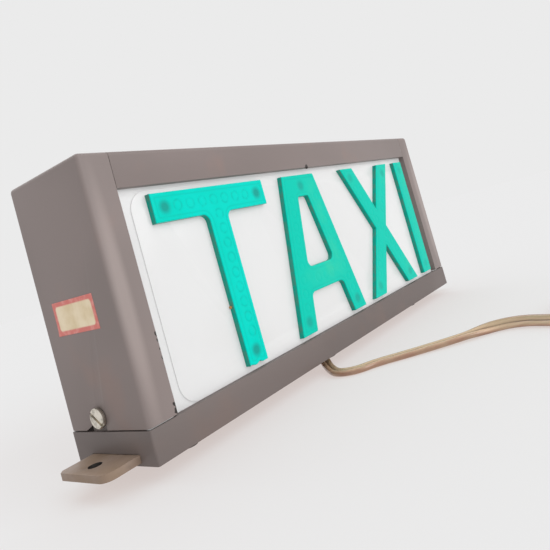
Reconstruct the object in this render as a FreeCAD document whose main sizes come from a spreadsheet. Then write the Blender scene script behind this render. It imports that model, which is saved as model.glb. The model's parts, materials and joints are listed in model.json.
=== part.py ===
"""Lit roof sign for a cab: a shallow tray on mounting ears, with a lift-off lamp hood and four letters.

Frame: millimetres, +X along the sign, -Y towards the side that is read, +Z up.
The origin is on the resting plane, below the middle of the casing.
"""

import FreeCAD
import Part
import Sketcher
import math
import os
import re

V = FreeCAD.Vector

# Driving dimensions: alias, value in millimetres, meaning.
DIMENSIONS = [
    ("case_width", 300.0, "casing, end to end"),
    ("case_depth", 53.0, "casing, front to back"),
    ("foot_rise", 7.0, "tray underside above the resting plane"),
    ("case_rise", 120.0, "tray underside to the top of the hood"),
    ("tray_rise", 13.4, "depth of the tray walls"),
    ("seam_gap", 0.6, "gap between tray and hood"),
    ("tray_gauge", 1.3, "tray sheet"),
    ("hood_gauge", 1.0, "hood sheet"),
    ("bend_radius", 2.0, "outer radius of the folded hood edges"),
    ("stile_width", 14.4, "front stile of each end cap"),
    ("rail_width", 15.2, "front rail of the top cover"),
    ("return_depth", 3.8, "window edge, folded inwards"),
    ("seam_play", 0.2, "end cap to top cover seam"),
    ("tongue_reach", 10.0, "joggled tongue of an end cap under the top cover"),
    ("panel_gauge", 2.0, "opal panel"),
    ("field_rise", 0.6, "raised field of the opal panel"),
    ("field_inset", 6.4, "raised field, from the stile's edge"),
    ("field_round", 9.0, "corner radius of the raised field"),
    ("field_top", 110.0, "top of the raised field"),
    ("panel_low", 13.0, "lower edge of the panel"),
    ("panel_high", 120.0, "upper edge of the panel"),
    ("panel_reach", 147.0, "half the panel's width"),
    ("letter_gauge", 3.1, "letter, front to back"),
    ("letter_low", 23.0, "foot of the letters"),
    ("letter_high", 108.0, "head of the letters"),
    ("letter_stroke", 12.8, "stroke of the T and the I"),
    ("letter_fillet", 3.5, "inner corners of the letters"),
    ("tee_middle", -83.0, "centre line of the T"),
    ("tee_half", 37.5, "half width of the T"),
    ("aye_middle", -11.6, "centre line of the A"),
    ("aye_head", 15.6, "half width of the A at its head"),
    ("aye_foot", 34.4, "half width of the A at its foot"),
    ("aye_leg", 13.4, "stroke of the A's legs, along X"),
    ("aye_bar_low", 43.0, "underside of the A's crossbar"),
    ("aye_bar_high", 56.5, "top of the A's crossbar"),
    ("aye_eye", 95.6, "top of the A's opening"),
    ("ex_middle", 69.5, "centre line of the X"),
    ("ex_half", 33.2, "half width of the X"),
    ("ex_stroke", 15.2, "stroke of the X, along X"),
    ("eye_middle", 121.8, "centre line of the I"),
    ("screw_row_high", 101.5, "upper row of letter screws"),
    ("screw_row_low", 29.3, "lower row of letter screws"),
    ("letter_screw_bore", 1.5, "letter screw shank radius"),
    ("letter_screw_head", 2.6, "letter screw head radius"),
    ("ear_reach", 16.0, "mounting ear beyond the casing"),
    ("ear_inside", 62.0, "mounting ear inside the tray"),
    ("ear_width", 31.3, "mounting ear, front to back"),
    ("ear_shift", -0.8, "mounting ear's centre line"),
    ("ear_gauge", 3.0, "mounting ear plate"),
    ("ear_hole", 2.75, "mounting hole radius"),
    ("ear_hole_reach", 8.8, "mounting hole beyond the casing"),
    ("ear_round", 4.5, "front outer corner of an ear"),
    ("ear_chamfer", 2.0, "rear outer corner of an ear"),
    ("rivet_shank", 2.0, "rivet shank radius"),
    ("rivet_head", 3.8, "rivet head radius"),
    ("rivet_rise", 1.2, "rivet head height"),
    ("rivet_outer", 16.0, "outer ear rivets, from the end of the casing"),
    ("rivet_inner", 46.0, "inner ear rivets, from the end of the casing"),
    ("rivet_stagger", 8.0, "ear rivets, to either side of the ear's centre line"),
    ("seam_rivet", 1.6, "seam rivet shank radius"),
    ("seam_rivet_tail", 2.8, "seam rivet tail radius"),
    ("seam_rivet_rise", 0.9, "seam rivet tail height"),
    ("foot_top", 6.5, "rubber foot radius at the tray"),
    ("foot_base", 5.6, "rubber foot radius at the ground"),
    ("foot_x", 118.0, "rubber feet from the middle, along X"),
    ("foot_front", -4.0, "front feet, along Y"),
    ("foot_rear", 19.0, "rear feet, along Y"),
    ("foot_screw_head", 3.2, "foot screw head radius"),
    ("side_screw_y", 2.8, "side screw behind the middle"),
    ("side_screw_z", 26.4, "side screw above the resting plane"),
    ("side_screw_shank", 2.45, "side screw shank radius"),
    ("side_screw_head", 4.25, "side screw head radius"),
    ("side_head_rise", 1.6, "side screw head height"),
    ("side_screw_length", 10.0, "side screw below its head"),
    ("driver_slot_depth", 0.9, "screwdriver slot, depth"),
    ("driver_slot_width", 1.3, "screwdriver slot, width"),
    ("side_slot", 2.75, "half width of the hood's keyhole slot"),
    ("washer_gauge", 0.4, "spring washer"),
    ("washer_radius", 4.0, "spring washer outer radius"),
    ("bracket_gauge", 1.5, "hood bracket plate"),
    ("bracket_half", 9.0, "half width of a hood bracket"),
    ("bracket_head", 8.0, "hood bracket above its screw"),
    ("nut_flat", 4.0, "half the width of the weld nut"),
    ("nut_gauge", 4.0, "weld nut height"),
    ("label_low", 61.0, "lower edge of the side label"),
    ("label_rise", 14.0, "side label height"),
    ("label_front", -13.4, "front edge of the side label"),
    ("label_length", 29.4, "side label length"),
    ("label_gauge", 0.12, "side label paper"),
    ("lamp_x", 68.0, "lamps from the middle"),
    ("holder_outer", 8.5, "lampholder shell radius"),
    ("holder_inner", 7.8, "lampholder bore radius"),
    ("bulb_cap", 7.5, "bulb cap radius"),
    ("bulb_globe", 12.5, "bulb globe radius"),
    ("bulb_cap_length", 16.0, "bulb cap length"),
    ("bulb_cap_low", 15.7, "underside of the bulb cap above the tray floor"),
    ("bulb_centre", 46.0, "middle of the bulb globe above the tray floor"),
    ("hat_length", 17.0, "half length of a lamp bracket"),
    ("hat_width", 12.0, "half width of a lamp bracket"),
    ("hat_rise", 12.0, "lamp bracket height"),
    ("hat_gauge", 1.2, "lamp bracket sheet"),
    ("holder_low", 6.0, "underside of a lampholder above the tray floor"),
    ("holder_length", 22.0, "lampholder length"),
    ("insulator_low", 7.0, "underside of a holder's insulator above the tray floor"),
    ("insulator_gauge", 3.0, "holder insulator"),
    ("spring_outer", 3.2, "contact spring outer radius"),
    ("spring_inner", 2.4, "contact spring inner radius"),
    ("spring_length", 4.5, "contact spring length"),
    ("contact_radius", 4.0, "centre contact radius"),
    ("contact_gauge", 1.2, "centre contact"),
    ("terminal_left", -4.0, "left end of the terminal block"),
    ("terminal_right", 18.0, "right end of the terminal block"),
    ("terminal_y", -13.0, "terminal block's centre line"),
    ("terminal_half", 6.0, "half width of the terminal block"),
    ("terminal_rise", 9.0, "terminal block height"),
    ("terminal_screw", 1.6, "terminal screw radius"),
    ("clip_half", 5.0, "half height of a panel clip"),
    ("clip_wall", 11.0, "panel clip along the end wall"),
    ("clip_finger", 12.0, "panel clip behind the panel"),
    ("lead_radius", 2.05, "round tube with the twin lead's section"),
    ("outlet_x", -23.0, "lead outlet, along X"),
    ("outlet_y", -17.0, "lead outlet, along Y"),
    ("outlet_bore", 4.4, "grommet bore radius"),
    ("outlet_hole", 6.0, "tray hole radius at the grommet"),
    ("outlet_flange", 7.8, "grommet flange radius"),
    ("coil_x", 40.2, "put-away coil, centre along X"),
    ("coil_y", -166.0, "put-away coil, centre along Y"),
    ("coil_outer", 41.5, "put-away coil, outer radius"),
    ("coil_inner", 22.5, "put-away coil, inner radius"),
    ("coil_rise", 11.0, "put-away coil, height"),
    ("connector_half", 7.0, "half width of the connector"),
    ("connector_length", 22.0, "connector, along the lead"),
    ("connector_rise", 8.0, "connector height"),
    ("pin_radius", 1.6, "connector pin radius"),
    ("pin_length", 9.0, "connector pin length"),
    ("pin_shift", 3.2, "connector pins from the middle"),
]

# Route of the free lead: out of the tray floor at a slant, then over the resting plane to the coil.
LEAD_ROUTE = [
    (-23.0, -17.0, 6.0),
    (-24.0, -18.8, 4.0),
    (-27.2, -22.2, 2.2),
    (-33.6, -28.3, 2.1),
    (-41.0, -37.0, 2.1),
    (-38.8, -47.0, 2.1),
    (-28.8, -53.4, 2.1),
    (-17.5, -68.5, 2.1),
    (-1.0, -89.0, 2.1),
    (11.5, -102.5, 2.1),
    (14.8, -115.5, 2.1),
    (8.8, -129.5, 2.1),
    (3.4, -143.5, 2.1),
    (2.4, -157.0, 2.1),
]

# The last of the lead, from the coil to its connector.
LEAD_TAIL = [(2.4, -180.0, 2.6), (2.4, -190.0, 3.2), (2.6, -199.0, 4.0)]

# Radius of the wires to the lamps.
WIRE_RADIUS = 1.1

# Heights of the rivets in the back seams, and of the clips behind the panel.
SEAM_RIVET_HEIGHTS = (38, 75, 112)
CLIP_HEIGHTS = (40, 72, 104)


def value(alias):
    """Return one driving dimension as a number."""
    return SIZES[alias]


def expand(expression):
    """Turn the aliases of an expression into references to the sheet."""
    return re.sub(r"[a-z][a-z_]+", lambda word: "Dimensions." + word.group(0), expression)


def bind(obj, prop, expression):
    """Drive one property from the sheet."""
    obj.setExpression(prop, expand(expression))


def make_sheet():
    """Write the driving dimensions into the spreadsheet."""
    sheet = doc.addObject("Spreadsheet::Sheet", "Dimensions")
    for row, (alias, size, meaning) in enumerate(DIMENSIONS, start=1):
        sheet.set(f"A{row}", meaning)
        sheet.set(f"B{row}", str(size))
        sheet.setAlias(f"B{row}", alias)
    doc.recompute()


def place(obj, x, y, z):
    """Drive an object's position from three expressions."""
    for axis, expression in zip("xyz", (x, y, z)):
        bind(obj, f"Placement.Base.{axis}", expression)


def box(name, x, y, z):
    """Make a box from three (low, high) pairs of expressions."""
    solid = doc.addObject("Part::Box", name)
    for prop, (low, high) in zip(("Length", "Width", "Height"), (x, y, z)):
        bind(solid, prop, f"({high}) - ({low})")
    place(solid, x[0], y[0], z[0])
    return solid


def turned(obj, axis):
    """Turn an object built along +Z to point along another axis."""
    turns = {
        "z": FreeCAD.Rotation(),
        "x": FreeCAD.Rotation(V(0, 1, 0), 90),
        "-x": FreeCAD.Rotation(V(0, 1, 0), -90),
        "y": FreeCAD.Rotation(V(1, 0, 0), -90),
        "-y": FreeCAD.Rotation(V(1, 0, 0), 90),
    }
    obj.Placement.Rotation = turns[axis]


def rod(name, radius, length, at, axis="z"):
    """Make a cylinder that starts at a point and runs along an axis."""
    solid = doc.addObject("Part::Cylinder", name)
    bind(solid, "Radius", radius)
    bind(solid, "Height", length)
    turned(solid, axis)
    place(solid, *at)
    return solid


def cone(name, low_radius, high_radius, length, at, axis="z"):
    """Make a cone that starts at a point and runs along an axis."""
    solid = doc.addObject("Part::Cone", name)
    bind(solid, "Radius1", low_radius)
    bind(solid, "Radius2", high_radius)
    bind(solid, "Height", length)
    turned(solid, axis)
    place(solid, *at)
    return solid


def fuse(name, solids):
    """Join solids into one object; solids that don't touch stay separate inside it."""
    joined = doc.addObject("Part::MultiFuse", name)
    joined.Shapes = solids
    joined.Refine = True
    return joined


def cut(name, base, tools):
    """Cut one or more tools out of a base."""
    result = doc.addObject("Part::Cut", name)
    result.Base = base
    result.Tool = tools[0] if len(tools) == 1 else fuse(name + "_tools", tools)
    result.Refine = True
    return result


def round_edges(name, base, radius, wanted):
    """Round the edges of a base that a test picks by their middle point and direction."""
    doc.recompute()
    picked = []
    for number, edge in enumerate(base.Shape.Edges, start=1):
        ends = [vertex.Point for vertex in edge.Vertexes]
        if len(ends) == 2 and wanted((ends[0] + ends[1]) / 2, ends[1] - ends[0]):
            picked.append((number, radius, radius))
    rounded = doc.addObject("Part::Fillet", name)
    rounded.Base = base
    rounded.Edges = picked
    return rounded


def origin_plane(body, role):
    """Find one of a body's origin planes."""
    return next(item for item in body.Origin.OriginFeatures if item.Role == role)


def add_outline(sketch, points, tag):
    """Draw one closed outline; each corner is placed by two constraints driven from the sheet."""
    count = len(points)
    start = sketch.GeometryCount
    turn = 2 * math.pi / count
    corners = [V(50 + 9 * math.cos(turn * i), 50 + 9 * math.sin(turn * i), 0) for i in range(count)]
    for i in range(count):
        sketch.addGeometry(Part.LineSegment(corners[i], corners[(i + 1) % count]), False)
    for i in range(count):
        line = start + i
        following = start + (i + 1) % count
        sketch.addConstraint(Sketcher.Constraint("Coincident", line, 2, following, 1))
    for i, (across, up) in enumerate(points):
        for kind, size, expression in (("DistanceX", corners[i].x, across), ("DistanceY", corners[i].y, up)):
            index = sketch.addConstraint(Sketcher.Constraint(kind, -1, 1, start + i, 1, size))
            name = f"{tag}{kind[-1]}{i}"
            sketch.renameConstraint(index, name)
            bind(sketch, "Constraints." + name, expression)


def prism(name, role, offset, length, outlines):
    """Pad closed outlines drawn on an origin plane, moved along its normal by an offset."""
    body = doc.addObject("PartDesign::Body", name)
    sketch = body.newObject("Sketcher::SketchObject", name + "_sketch")
    sketch.AttachmentSupport = [(origin_plane(body, role), "")]
    sketch.MapMode = "FlatFace"
    bind(sketch, "AttachmentOffset.Base.z", offset)
    for number, points in enumerate(outlines):
        add_outline(sketch, points, f"loop{number}")
    pad = body.newObject("PartDesign::Pad", name + "_pad")
    pad.Profile = sketch
    bind(pad, "Length", length)
    body.Tip = pad
    return body


def soften(body, radius, wanted):
    """Round the edges of a body's tip that a test picks, as its last feature."""
    doc.recompute()
    tip = body.Tip
    names = []
    for number, edge in enumerate(tip.Shape.Edges, start=1):
        ends = [vertex.Point for vertex in edge.Vertexes]
        if len(ends) == 2 and wanted((ends[0] + ends[1]) / 2, ends[1] - ends[0]):
            names.append(f"Edge{number}")
    fillet = body.newObject("PartDesign::Fillet", body.Name + "_round")
    fillet.Base = (tip, names)
    bind(fillet, "Radius", radius)
    body.Tip = fillet
    return body


def keep(node, obj):
    """Give a finished object its node name."""
    obj.Label = node
    NODES[node] = obj
    return obj


def sided(side, near, far):
    """Return (low, high) along X for a piece between two distances from the middle."""
    return (near, far) if side == "right" else (f"-({far})", f"-({near})")


def signed(side, distance):
    """Return a distance from the middle along X, towards one side."""
    return distance if side == "right" else f"-({distance})"


HALF_X = "case_width / 2"
HALF_Y = "case_depth / 2"
TOP = "foot_rise + case_rise"
RIM = "foot_rise + tray_rise"
HOOD_LOW = "foot_rise + tray_rise + seam_gap"
FLOOR = "foot_rise + tray_gauge"
WINDOW_TOP = "foot_rise + case_rise - rail_width"
WINDOW_X = "case_width / 2 - stile_width"
FLANGE_FRONT = "return_depth - case_depth / 2"
FIELD_FRONT = "return_depth - case_depth / 2 - field_rise"
PANEL_BACK = "return_depth - case_depth / 2 + panel_gauge"
SIDES = ("left", "right")


def rivet_points():
    """Give the centres of the rivets that hold the mounting ears to the tray floor."""
    return [
        (signed(side, f"{HALF_X} - {inset}"), f"ear_shift {across} rivet_stagger")
        for side in SIDES
        for inset, across in (("rivet_outer", "+"), ("rivet_inner", "-"))
    ]


def foot_points():
    """Give the centres of the rubber feet."""
    return {
        f"{row}_{side}": (signed(side, "foot_x"), shift)
        for row, shift in (("front", "foot_front"), ("rear", "foot_rear"))
        for side in SIDES
    }


def make_tray():
    """Fold the tray: floor, four walls, a returned front lip and its holes."""
    outer = box("tray_outer", (f"-({HALF_X})", HALF_X), (f"-({HALF_Y})", HALF_Y), ("foot_rise", RIM))
    shell = round_edges("tray_bends", outer, value("tray_gauge") * 0.7, is_vertical)
    inner = box(
        "tray_inside",
        (f"tray_gauge - {HALF_X}", f"{HALF_X} - tray_gauge"),
        (f"tray_gauge - {HALF_Y}", f"{HALF_Y} - tray_gauge"),
        (FLOOR, f"{RIM} + 1"),
    )
    tools = [inner]
    for side in SIDES:
        slot = box(
            f"ear_slot_{side}",
            sided(side, f"{HALF_X} - tray_gauge - 1", f"{HALF_X} + 1"),
            ("ear_shift - ear_width / 2 - 0.2", "ear_shift + ear_width / 2 + 0.2"),
            (FLOOR, f"{FLOOR} + ear_gauge + 0.2"),
        )
        tools.append(slot)
    for number, (x, y) in enumerate(rivet_points()):
        at = (x, y, "foot_rise - 1")
        tools.append(rod(f"tray_rivet_hole_{number}", "rivet_shank", "tray_gauge + 2", at))
    for name, (x, y) in foot_points().items():
        at = (x, y, "foot_rise - 1")
        tools.append(rod(f"tray_foot_hole_{name}", "rivet_shank", "tray_gauge + 2", at))
    at = ("outlet_x", "outlet_y", "foot_rise - 1")
    tools.append(rod("tray_outlet", "outlet_hole", "tray_gauge + 2", at))
    lip = box(
        "tray_lip",
        (f"-({WINDOW_X}) + 0.3", f"{WINDOW_X} - 0.3"),
        (f"tray_gauge - {HALF_Y}", f"{FLANGE_FRONT} - 0.3"),
        (f"{RIM} - tray_gauge", RIM),
    )
    keep("base_tray", fuse("Tray", [cut("tray_folded", shell, tools), lip]))


def is_vertical(_middle, direction):
    """Pick edges that stand upright."""
    return abs(direction.x) < 1e-6 and abs(direction.y) < 1e-6


def ear_holes(side):
    """Drill one ear: the mounting hole, two rivet holes and two foot screw holes."""
    depth = "ear_gauge + 2"
    low = f"{FLOOR} - 1"
    centre = (signed(side, f"{HALF_X} + ear_hole_reach"), "0", low)
    holes = [rod(f"ear_hole_{side}", "ear_hole", depth, centre)]
    for number, (x, y) in enumerate(rivet_points()):
        if (number < 2) == (side == "left"):
            holes.append(rod(f"ear_rivet_{number}", "rivet_shank", depth, (x, y, low)))
    for name, (x, y) in foot_points().items():
        if name.endswith(side):
            holes.append(rod(f"ear_foot_{name}", "rivet_shank", depth, (x, y, low)))
    return holes


def make_ears():
    """Cut the two mounting ears, each with one round and one chamfered outer corner."""
    front = "ear_shift - ear_width / 2"
    rear = "ear_shift + ear_width / 2"
    reach = value("case_width") / 2 + value("ear_reach")
    for side in SIDES:
        near = signed(side, f"{HALF_X} - ear_inside")
        far = signed(side, f"{HALF_X} + ear_reach")
        nick = signed(side, f"{HALF_X} + ear_reach - ear_chamfer")
        chamfer = [(far, f"{rear} - ear_chamfer"), (nick, rear)]
        outline = [(near, front), (far, front), *chamfer, (near, rear)]
        body = prism(f"ear_{side}", "XY_Plane", FLOOR, "ear_gauge", [outline])
        body = soften(
            body,
            "ear_round",
            lambda middle, direction: is_vertical(middle, direction)
            and abs(abs(middle.x) - reach) < 0.1
            and middle.y < 0,
        )
        keep(f"{side}_mounting_ear", cut(f"Ear_{side}", body, ear_holes(side)))


def make_rivets():
    """Close the four rivets over the tray floor and the ears."""
    solids = []
    rim = "rivet_head * 0.7"
    for number, (x, y) in enumerate(rivet_points()):
        low = (x, y, "foot_rise - rivet_rise")
        top = (x, y, f"{FLOOR} + ear_gauge")
        shank = "tray_gauge + ear_gauge"
        solids.append(rod(f"rivet_shank_{number}", "rivet_shank", shank, (x, y, "foot_rise")))
        solids.append(cone(f"rivet_low_{number}", rim, "rivet_head", "rivet_rise", low))
        solids.append(cone(f"rivet_top_{number}", "rivet_head", rim, "rivet_rise", top))
    keep("ear_rivets", fuse("EarRivets", solids))


def make_feet():
    """Turn the four rubber feet and their screws."""
    screws = []
    for name, (x, y) in foot_points().items():
        foot = cone(f"foot_body_{name}", "foot_base", "foot_top", "foot_rise", (x, y, "0"))
        well = rod(f"foot_well_{name}", "foot_screw_head + 0.3", "4", (x, y, "-1"))
        bore = rod(f"foot_bore_{name}", "rivet_shank", "foot_rise + 2", (x, y, "-1"))
        keep(f"{name}_foot", cut(f"Foot_{name}", foot, [well, bore]))
        screws.append(rod(f"foot_head_{name}", "foot_screw_head", "1.8", (x, y, "1.2")))
        screws.append(rod(f"foot_shank_{name}", "rivet_shank", f"{FLOOR} + ear_gauge + 2.2 - 3", (x, y, "3")))
    keep("foot_screws", fuse("FootScrews", screws))


def make_brackets():
    """Cut the plates inside the tray ends, with weld nuts that take the side screws."""
    for side in SIDES:
        wall = f"{HALF_X} - tray_gauge"
        plate = box(
            f"bracket_plate_{side}",
            sided(side, f"{wall} - bracket_gauge", wall),
            ("side_screw_y - bracket_half", "side_screw_y + bracket_half"),
            (f"{FLOOR} + ear_gauge + 0.4", "side_screw_z + bracket_head"),
        )
        hole = rod(
            f"bracket_hole_{side}",
            "side_screw_shank + 0.15",
            "bracket_gauge + 2",
            (sided(side, f"{wall} - bracket_gauge - 1", f"{wall} + 1")[0], "side_screw_y", "side_screw_z"),
            "x",
        )
        keep(f"{side}_hood_bracket", cut(f"Bracket_{side}", plate, [hole]))
        nut_x = sided(side, f"{wall} - bracket_gauge - nut_gauge", f"{wall} - bracket_gauge")
        block = box(
            f"nut_block_{side}",
            nut_x,
            ("side_screw_y - nut_flat", "side_screw_y + nut_flat"),
            ("side_screw_z - nut_flat", "side_screw_z + nut_flat"),
        )
        thread = rod(
            f"nut_thread_{side}",
            "side_screw_shank + 0.05",
            "nut_gauge + 2",
            (f"({nut_x[0]}) - 1", "side_screw_y", "side_screw_z"),
            "x",
        )
        keep(f"{side}_weld_nut", cut(f"Nut_{side}", block, [thread]))


def driver_slot(side, head_low):
    """Make the tool that cuts the tilted screwdriver slot across a screw head."""
    slot = doc.addObject("Part::Box", f"screw_slot_{side}")
    bind(slot, "Length", "driver_slot_depth + 0.3")
    bind(slot, "Width", "side_screw_head * 2 + 2")
    bind(slot, "Height", "driver_slot_width")
    tilt = FreeCAD.Rotation(V(1, 0, 0), 38)
    slot.Placement.Rotation = tilt
    middle = tilt.multVec(V(0, value("side_screw_head") + 1, value("driver_slot_width") / 2))
    crown = f"{head_low} + side_head_rise"
    start = sided(side, f"{crown} - driver_slot_depth", f"{crown} + 0.3")[0]
    place(slot, start, f"side_screw_y - ({middle.y})", f"side_screw_z - ({middle.z})")
    return slot


def make_side_screws():
    """Turn the two slotted side screws and their spring washers."""
    washer_low = f"{HALF_X} + 0.05"
    head_low = f"{washer_low} + washer_gauge"
    bevel_low = f"{head_low} + side_head_rise * 0.75"
    for side in SIDES:
        outward, inward = ("x", "-x") if side == "right" else ("-x", "x")
        seat, under_head, bevel, behind = (
            (signed(side, level), "side_screw_y", "side_screw_z")
            for level in (washer_low, head_low, bevel_low, f"{washer_low} - 1")
        )
        ring = rod(f"washer_disc_{side}", "washer_radius", "washer_gauge", seat, outward)
        play = "side_screw_shank + 0.05"
        bore = rod(f"washer_bore_{side}", play, "washer_gauge + 2", behind, outward)
        keep(f"{side}_spring_washer", cut(f"Washer_{side}", ring, [bore]))
        shank = rod(f"screw_shank_{side}", "side_screw_shank", "side_screw_length", under_head, inward)
        rim = "side_head_rise * 0.75"
        head = rod(f"screw_rim_{side}", "side_screw_head", rim, under_head, outward)
        crown = ("side_screw_head", "side_screw_head * 0.9", "side_head_rise * 0.25")
        dome = cone(f"screw_bevel_{side}", *crown, bevel, outward)
        blank = fuse(f"screw_blank_{side}", [shank, head, dome])
        keep(f"{side}_side_screw", cut(f"SideScrew_{side}", blank, [driver_slot(side, head_low)]))


def is_cap_bend(middle, direction):
    """Pick an end cap's bends: upright at the side wall, and the three round the top."""
    at_side = abs(abs(middle.x) - value("case_width") / 2) < 0.01
    at_top = abs(middle.z - value("foot_rise") - value("case_rise")) < 0.01
    at_face = abs(abs(middle.y) - value("case_depth") / 2) < 0.01
    return (at_side and at_face and is_vertical(middle, direction)) or (at_top and (at_side or at_face))


def cap_blank(side):
    """Fold one end cap: side wall, stile, top and rear flanges, window return and two tongues."""
    outer = box(f"cap_outer_{side}", sided(side, WINDOW_X, HALF_X), (f"-({HALF_Y})", HALF_Y), (HOOD_LOW, TOP))
    shell = round_edges(f"cap_bends_{side}", outer, value("bend_radius"), is_cap_bend)
    inner = box(
        f"cap_inside_{side}",
        sided(side, f"{WINDOW_X} - 1", f"{HALF_X} - hood_gauge"),
        (f"hood_gauge - {HALF_Y}", f"{HALF_Y} - hood_gauge"),
        (f"{HOOD_LOW} - 1", f"{TOP} - hood_gauge"),
    )
    folded_shell = cut(f"cap_shell_{side}", shell, [inner])
    window_return = box(
        f"cap_return_{side}",
        sided(side, WINDOW_X, f"{WINDOW_X} + hood_gauge"),
        (f"hood_gauge - {HALF_Y}", FLANGE_FRONT),
        (HOOD_LOW, f"{WINDOW_TOP} + hood_gauge"),
    )
    tongue = sided(side, f"{WINDOW_X} - tongue_reach", f"{WINDOW_X} + 4")
    top_tongue = box(
        f"cap_top_tongue_{side}",
        tongue,
        (f"{PANEL_BACK} + 3", f"{HALF_Y} - hood_gauge"),
        (f"{TOP} - hood_gauge * 2", f"{TOP} - hood_gauge"),
    )
    rear_tongue = box(
        f"cap_rear_tongue_{side}",
        tongue,
        (f"{HALF_Y} - hood_gauge * 2", f"{HALF_Y} - hood_gauge"),
        (HOOD_LOW, f"{TOP} - hood_gauge"),
    )
    return fuse(f"cap_blank_{side}", [folded_shell, window_return, top_tongue, rear_tongue])


def keyhole_tools(side):
    """Make the tools that cut the open keyhole slot for one side screw."""
    start = sided(side, f"{HALF_X} - hood_gauge - 1", f"{HALF_X} + 1")[0]
    flare = [
        ("side_screw_y - side_slot", f"{HOOD_LOW} - 1"),
        ("side_screw_y + 15", f"{HOOD_LOW} - 1"),
        ("side_screw_y + 12", HOOD_LOW),
        ("side_screw_y + side_slot", "side_screw_z - 1.5"),
        ("side_screw_y + side_slot", "side_screw_z"),
        ("side_screw_y - side_slot", "side_screw_z"),
    ]
    depth = "hood_gauge + 2"
    mouth = prism(f"cap_slot_{side}", "YZ_Plane", start, depth, [flare])
    end = rod(f"cap_slot_end_{side}", "side_slot", depth, (start, "side_screw_y", "side_screw_z"), "x")
    return [mouth, end]


def make_end_caps():
    """Finish the two end caps: keyhole slots and rivet holes."""
    for side in SIDES:
        tools = keyhole_tools(side)
        for number, z in enumerate(SEAM_RIVET_HEIGHTS):
            tools.append(seam_rivet_rod(f"cap_rivet_hole_{side}_{number}", side, z))
        keep(f"{side}_end_cap", cut(f"EndCap_{side}", cap_blank(side), tools))


def seam_rivet_rod(name, side, z):
    """Make the shank of one rivet through the back wall and the tongue behind it."""
    across = signed(side, f"{WINDOW_X} - tongue_reach / 2")
    start = (across, f"{HALF_Y} - hood_gauge * 2", str(z))
    return rod(name, "seam_rivet", "hood_gauge * 2", start, "y")


def make_seam_rivets():
    """Close the six small rivets in the back seams."""
    solids = []
    for side in SIDES:
        across = signed(side, f"{WINDOW_X} - tongue_reach / 2")
        for number, z in enumerate(SEAM_RIVET_HEIGHTS):
            solids.append(seam_rivet_rod(f"seam_rivet_{side}_{number}", side, z))
            start = (across, f"{HALF_Y} - hood_gauge * 2 - seam_rivet_rise", str(z))
            tail = (f"seam_tail_{side}_{number}", "seam_rivet + 0.2", "seam_rivet_tail", "seam_rivet_rise")
            solids.append(cone(*tail, start, "y"))
    keep("seam_rivets", fuse("SeamRivets", solids))


def make_top_cover():
    """Fold the top cover: front rail with its return, top and back wall."""
    back = HALF_Y
    outline = [
        (f"-({back})", WINDOW_TOP),
        (f"-({back})", TOP),
        (back, TOP),
        (back, HOOD_LOW),
        (f"{back} - hood_gauge", HOOD_LOW),
        (f"{back} - hood_gauge", f"{TOP} - hood_gauge"),
        (f"hood_gauge - {back}", f"{TOP} - hood_gauge"),
        (f"hood_gauge - {back}", f"{WINDOW_TOP} + hood_gauge"),
        (FLANGE_FRONT, f"{WINDOW_TOP} + hood_gauge"),
        (FLANGE_FRONT, WINDOW_TOP),
    ]
    body = prism(
        "cover",
        "YZ_Plane",
        f"seam_play - ({WINDOW_X})",
        f"2 * ({WINDOW_X}) - 2 * seam_play",
        [outline],
    )
    top = value("foot_rise") + value("case_rise")
    half = value("case_depth") / 2
    body = soften(
        body,
        "bend_radius",
        lambda middle, direction: abs(direction.x) > 100
        and abs(middle.z - top) < 0.01
        and abs(abs(middle.y) - half) < 0.01,
    )
    holes = [
        seam_rivet_rod(f"cover_rivet_hole_{side}_{number}", side, z)
        for side in SIDES
        for number, z in enumerate(SEAM_RIVET_HEIGHTS)
    ]
    keep("top_cover", cut("TopCover", body, holes))


def letter_screw_points():
    """Give the letter screws as (across, up), letter by letter."""
    high, low = "screw_row_high", "screw_row_low"
    return {
        "tee": [("tee_middle - 31", high), ("tee_middle + 31", high), ("tee_middle", low)],
        "aye": [("aye_middle", high), ("aye_middle - 26.3", low), ("aye_middle + 26.3", low)],
        "ex": [
            ("ex_middle - 23.4", high),
            ("ex_middle + 23.4", high),
            ("ex_middle - 23.4", low),
            ("ex_middle + 23.4", low),
        ],
        "eye": [("eye_middle", high), ("eye_middle", low)],
    }


def make_panel():
    """Mould the opal panel: a flat flange and a raised field with round corners."""
    flange = box(
        "panel_flange",
        ("-(panel_reach)", "panel_reach"),
        (FLANGE_FRONT, PANEL_BACK),
        ("panel_low", "panel_high"),
    )
    field = box(
        "panel_field",
        (f"field_inset - ({WINDOW_X})", f"{WINDOW_X} - field_inset"),
        (FIELD_FRONT, PANEL_BACK),
        (f"{RIM} + 0.2", "field_top"),
    )
    rounded = round_edges(
        "panel_corners",
        field,
        value("field_round"),
        lambda _middle, direction: abs(direction.y) > 0.1,
    )
    holes = []
    for letter, points in letter_screw_points().items():
        for number, (x, z) in enumerate(points):
            start = (x, f"{PANEL_BACK} + 1", z)
            name = f"panel_hole_{letter}_{number}"
            holes.append(rod(name, "letter_screw_bore", "panel_gauge + 3", start, "-y"))
    keep("opal_panel", cut("OpalPanel", fuse("panel_blank", [flange, rounded]), holes))


def make_letter(node, key, outlines, inner_corner):
    """Mould one letter and bore its blind screw holes from behind."""
    body = prism(key, "XZ_Plane", f"-({FIELD_FRONT})", "letter_gauge", outlines)
    body = soften(body, "letter_fillet", inner_corner) if inner_corner else body
    holes = [
        rod(f"{key}_screw_hole_{number}", "letter_screw_bore", "2.2", (x, f"{FIELD_FRONT} + 0.2", z), "-y")
        for number, (x, z) in enumerate(letter_screw_points()[key])
    ]
    keep(node, cut(key + "_bored", body, holes))


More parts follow.
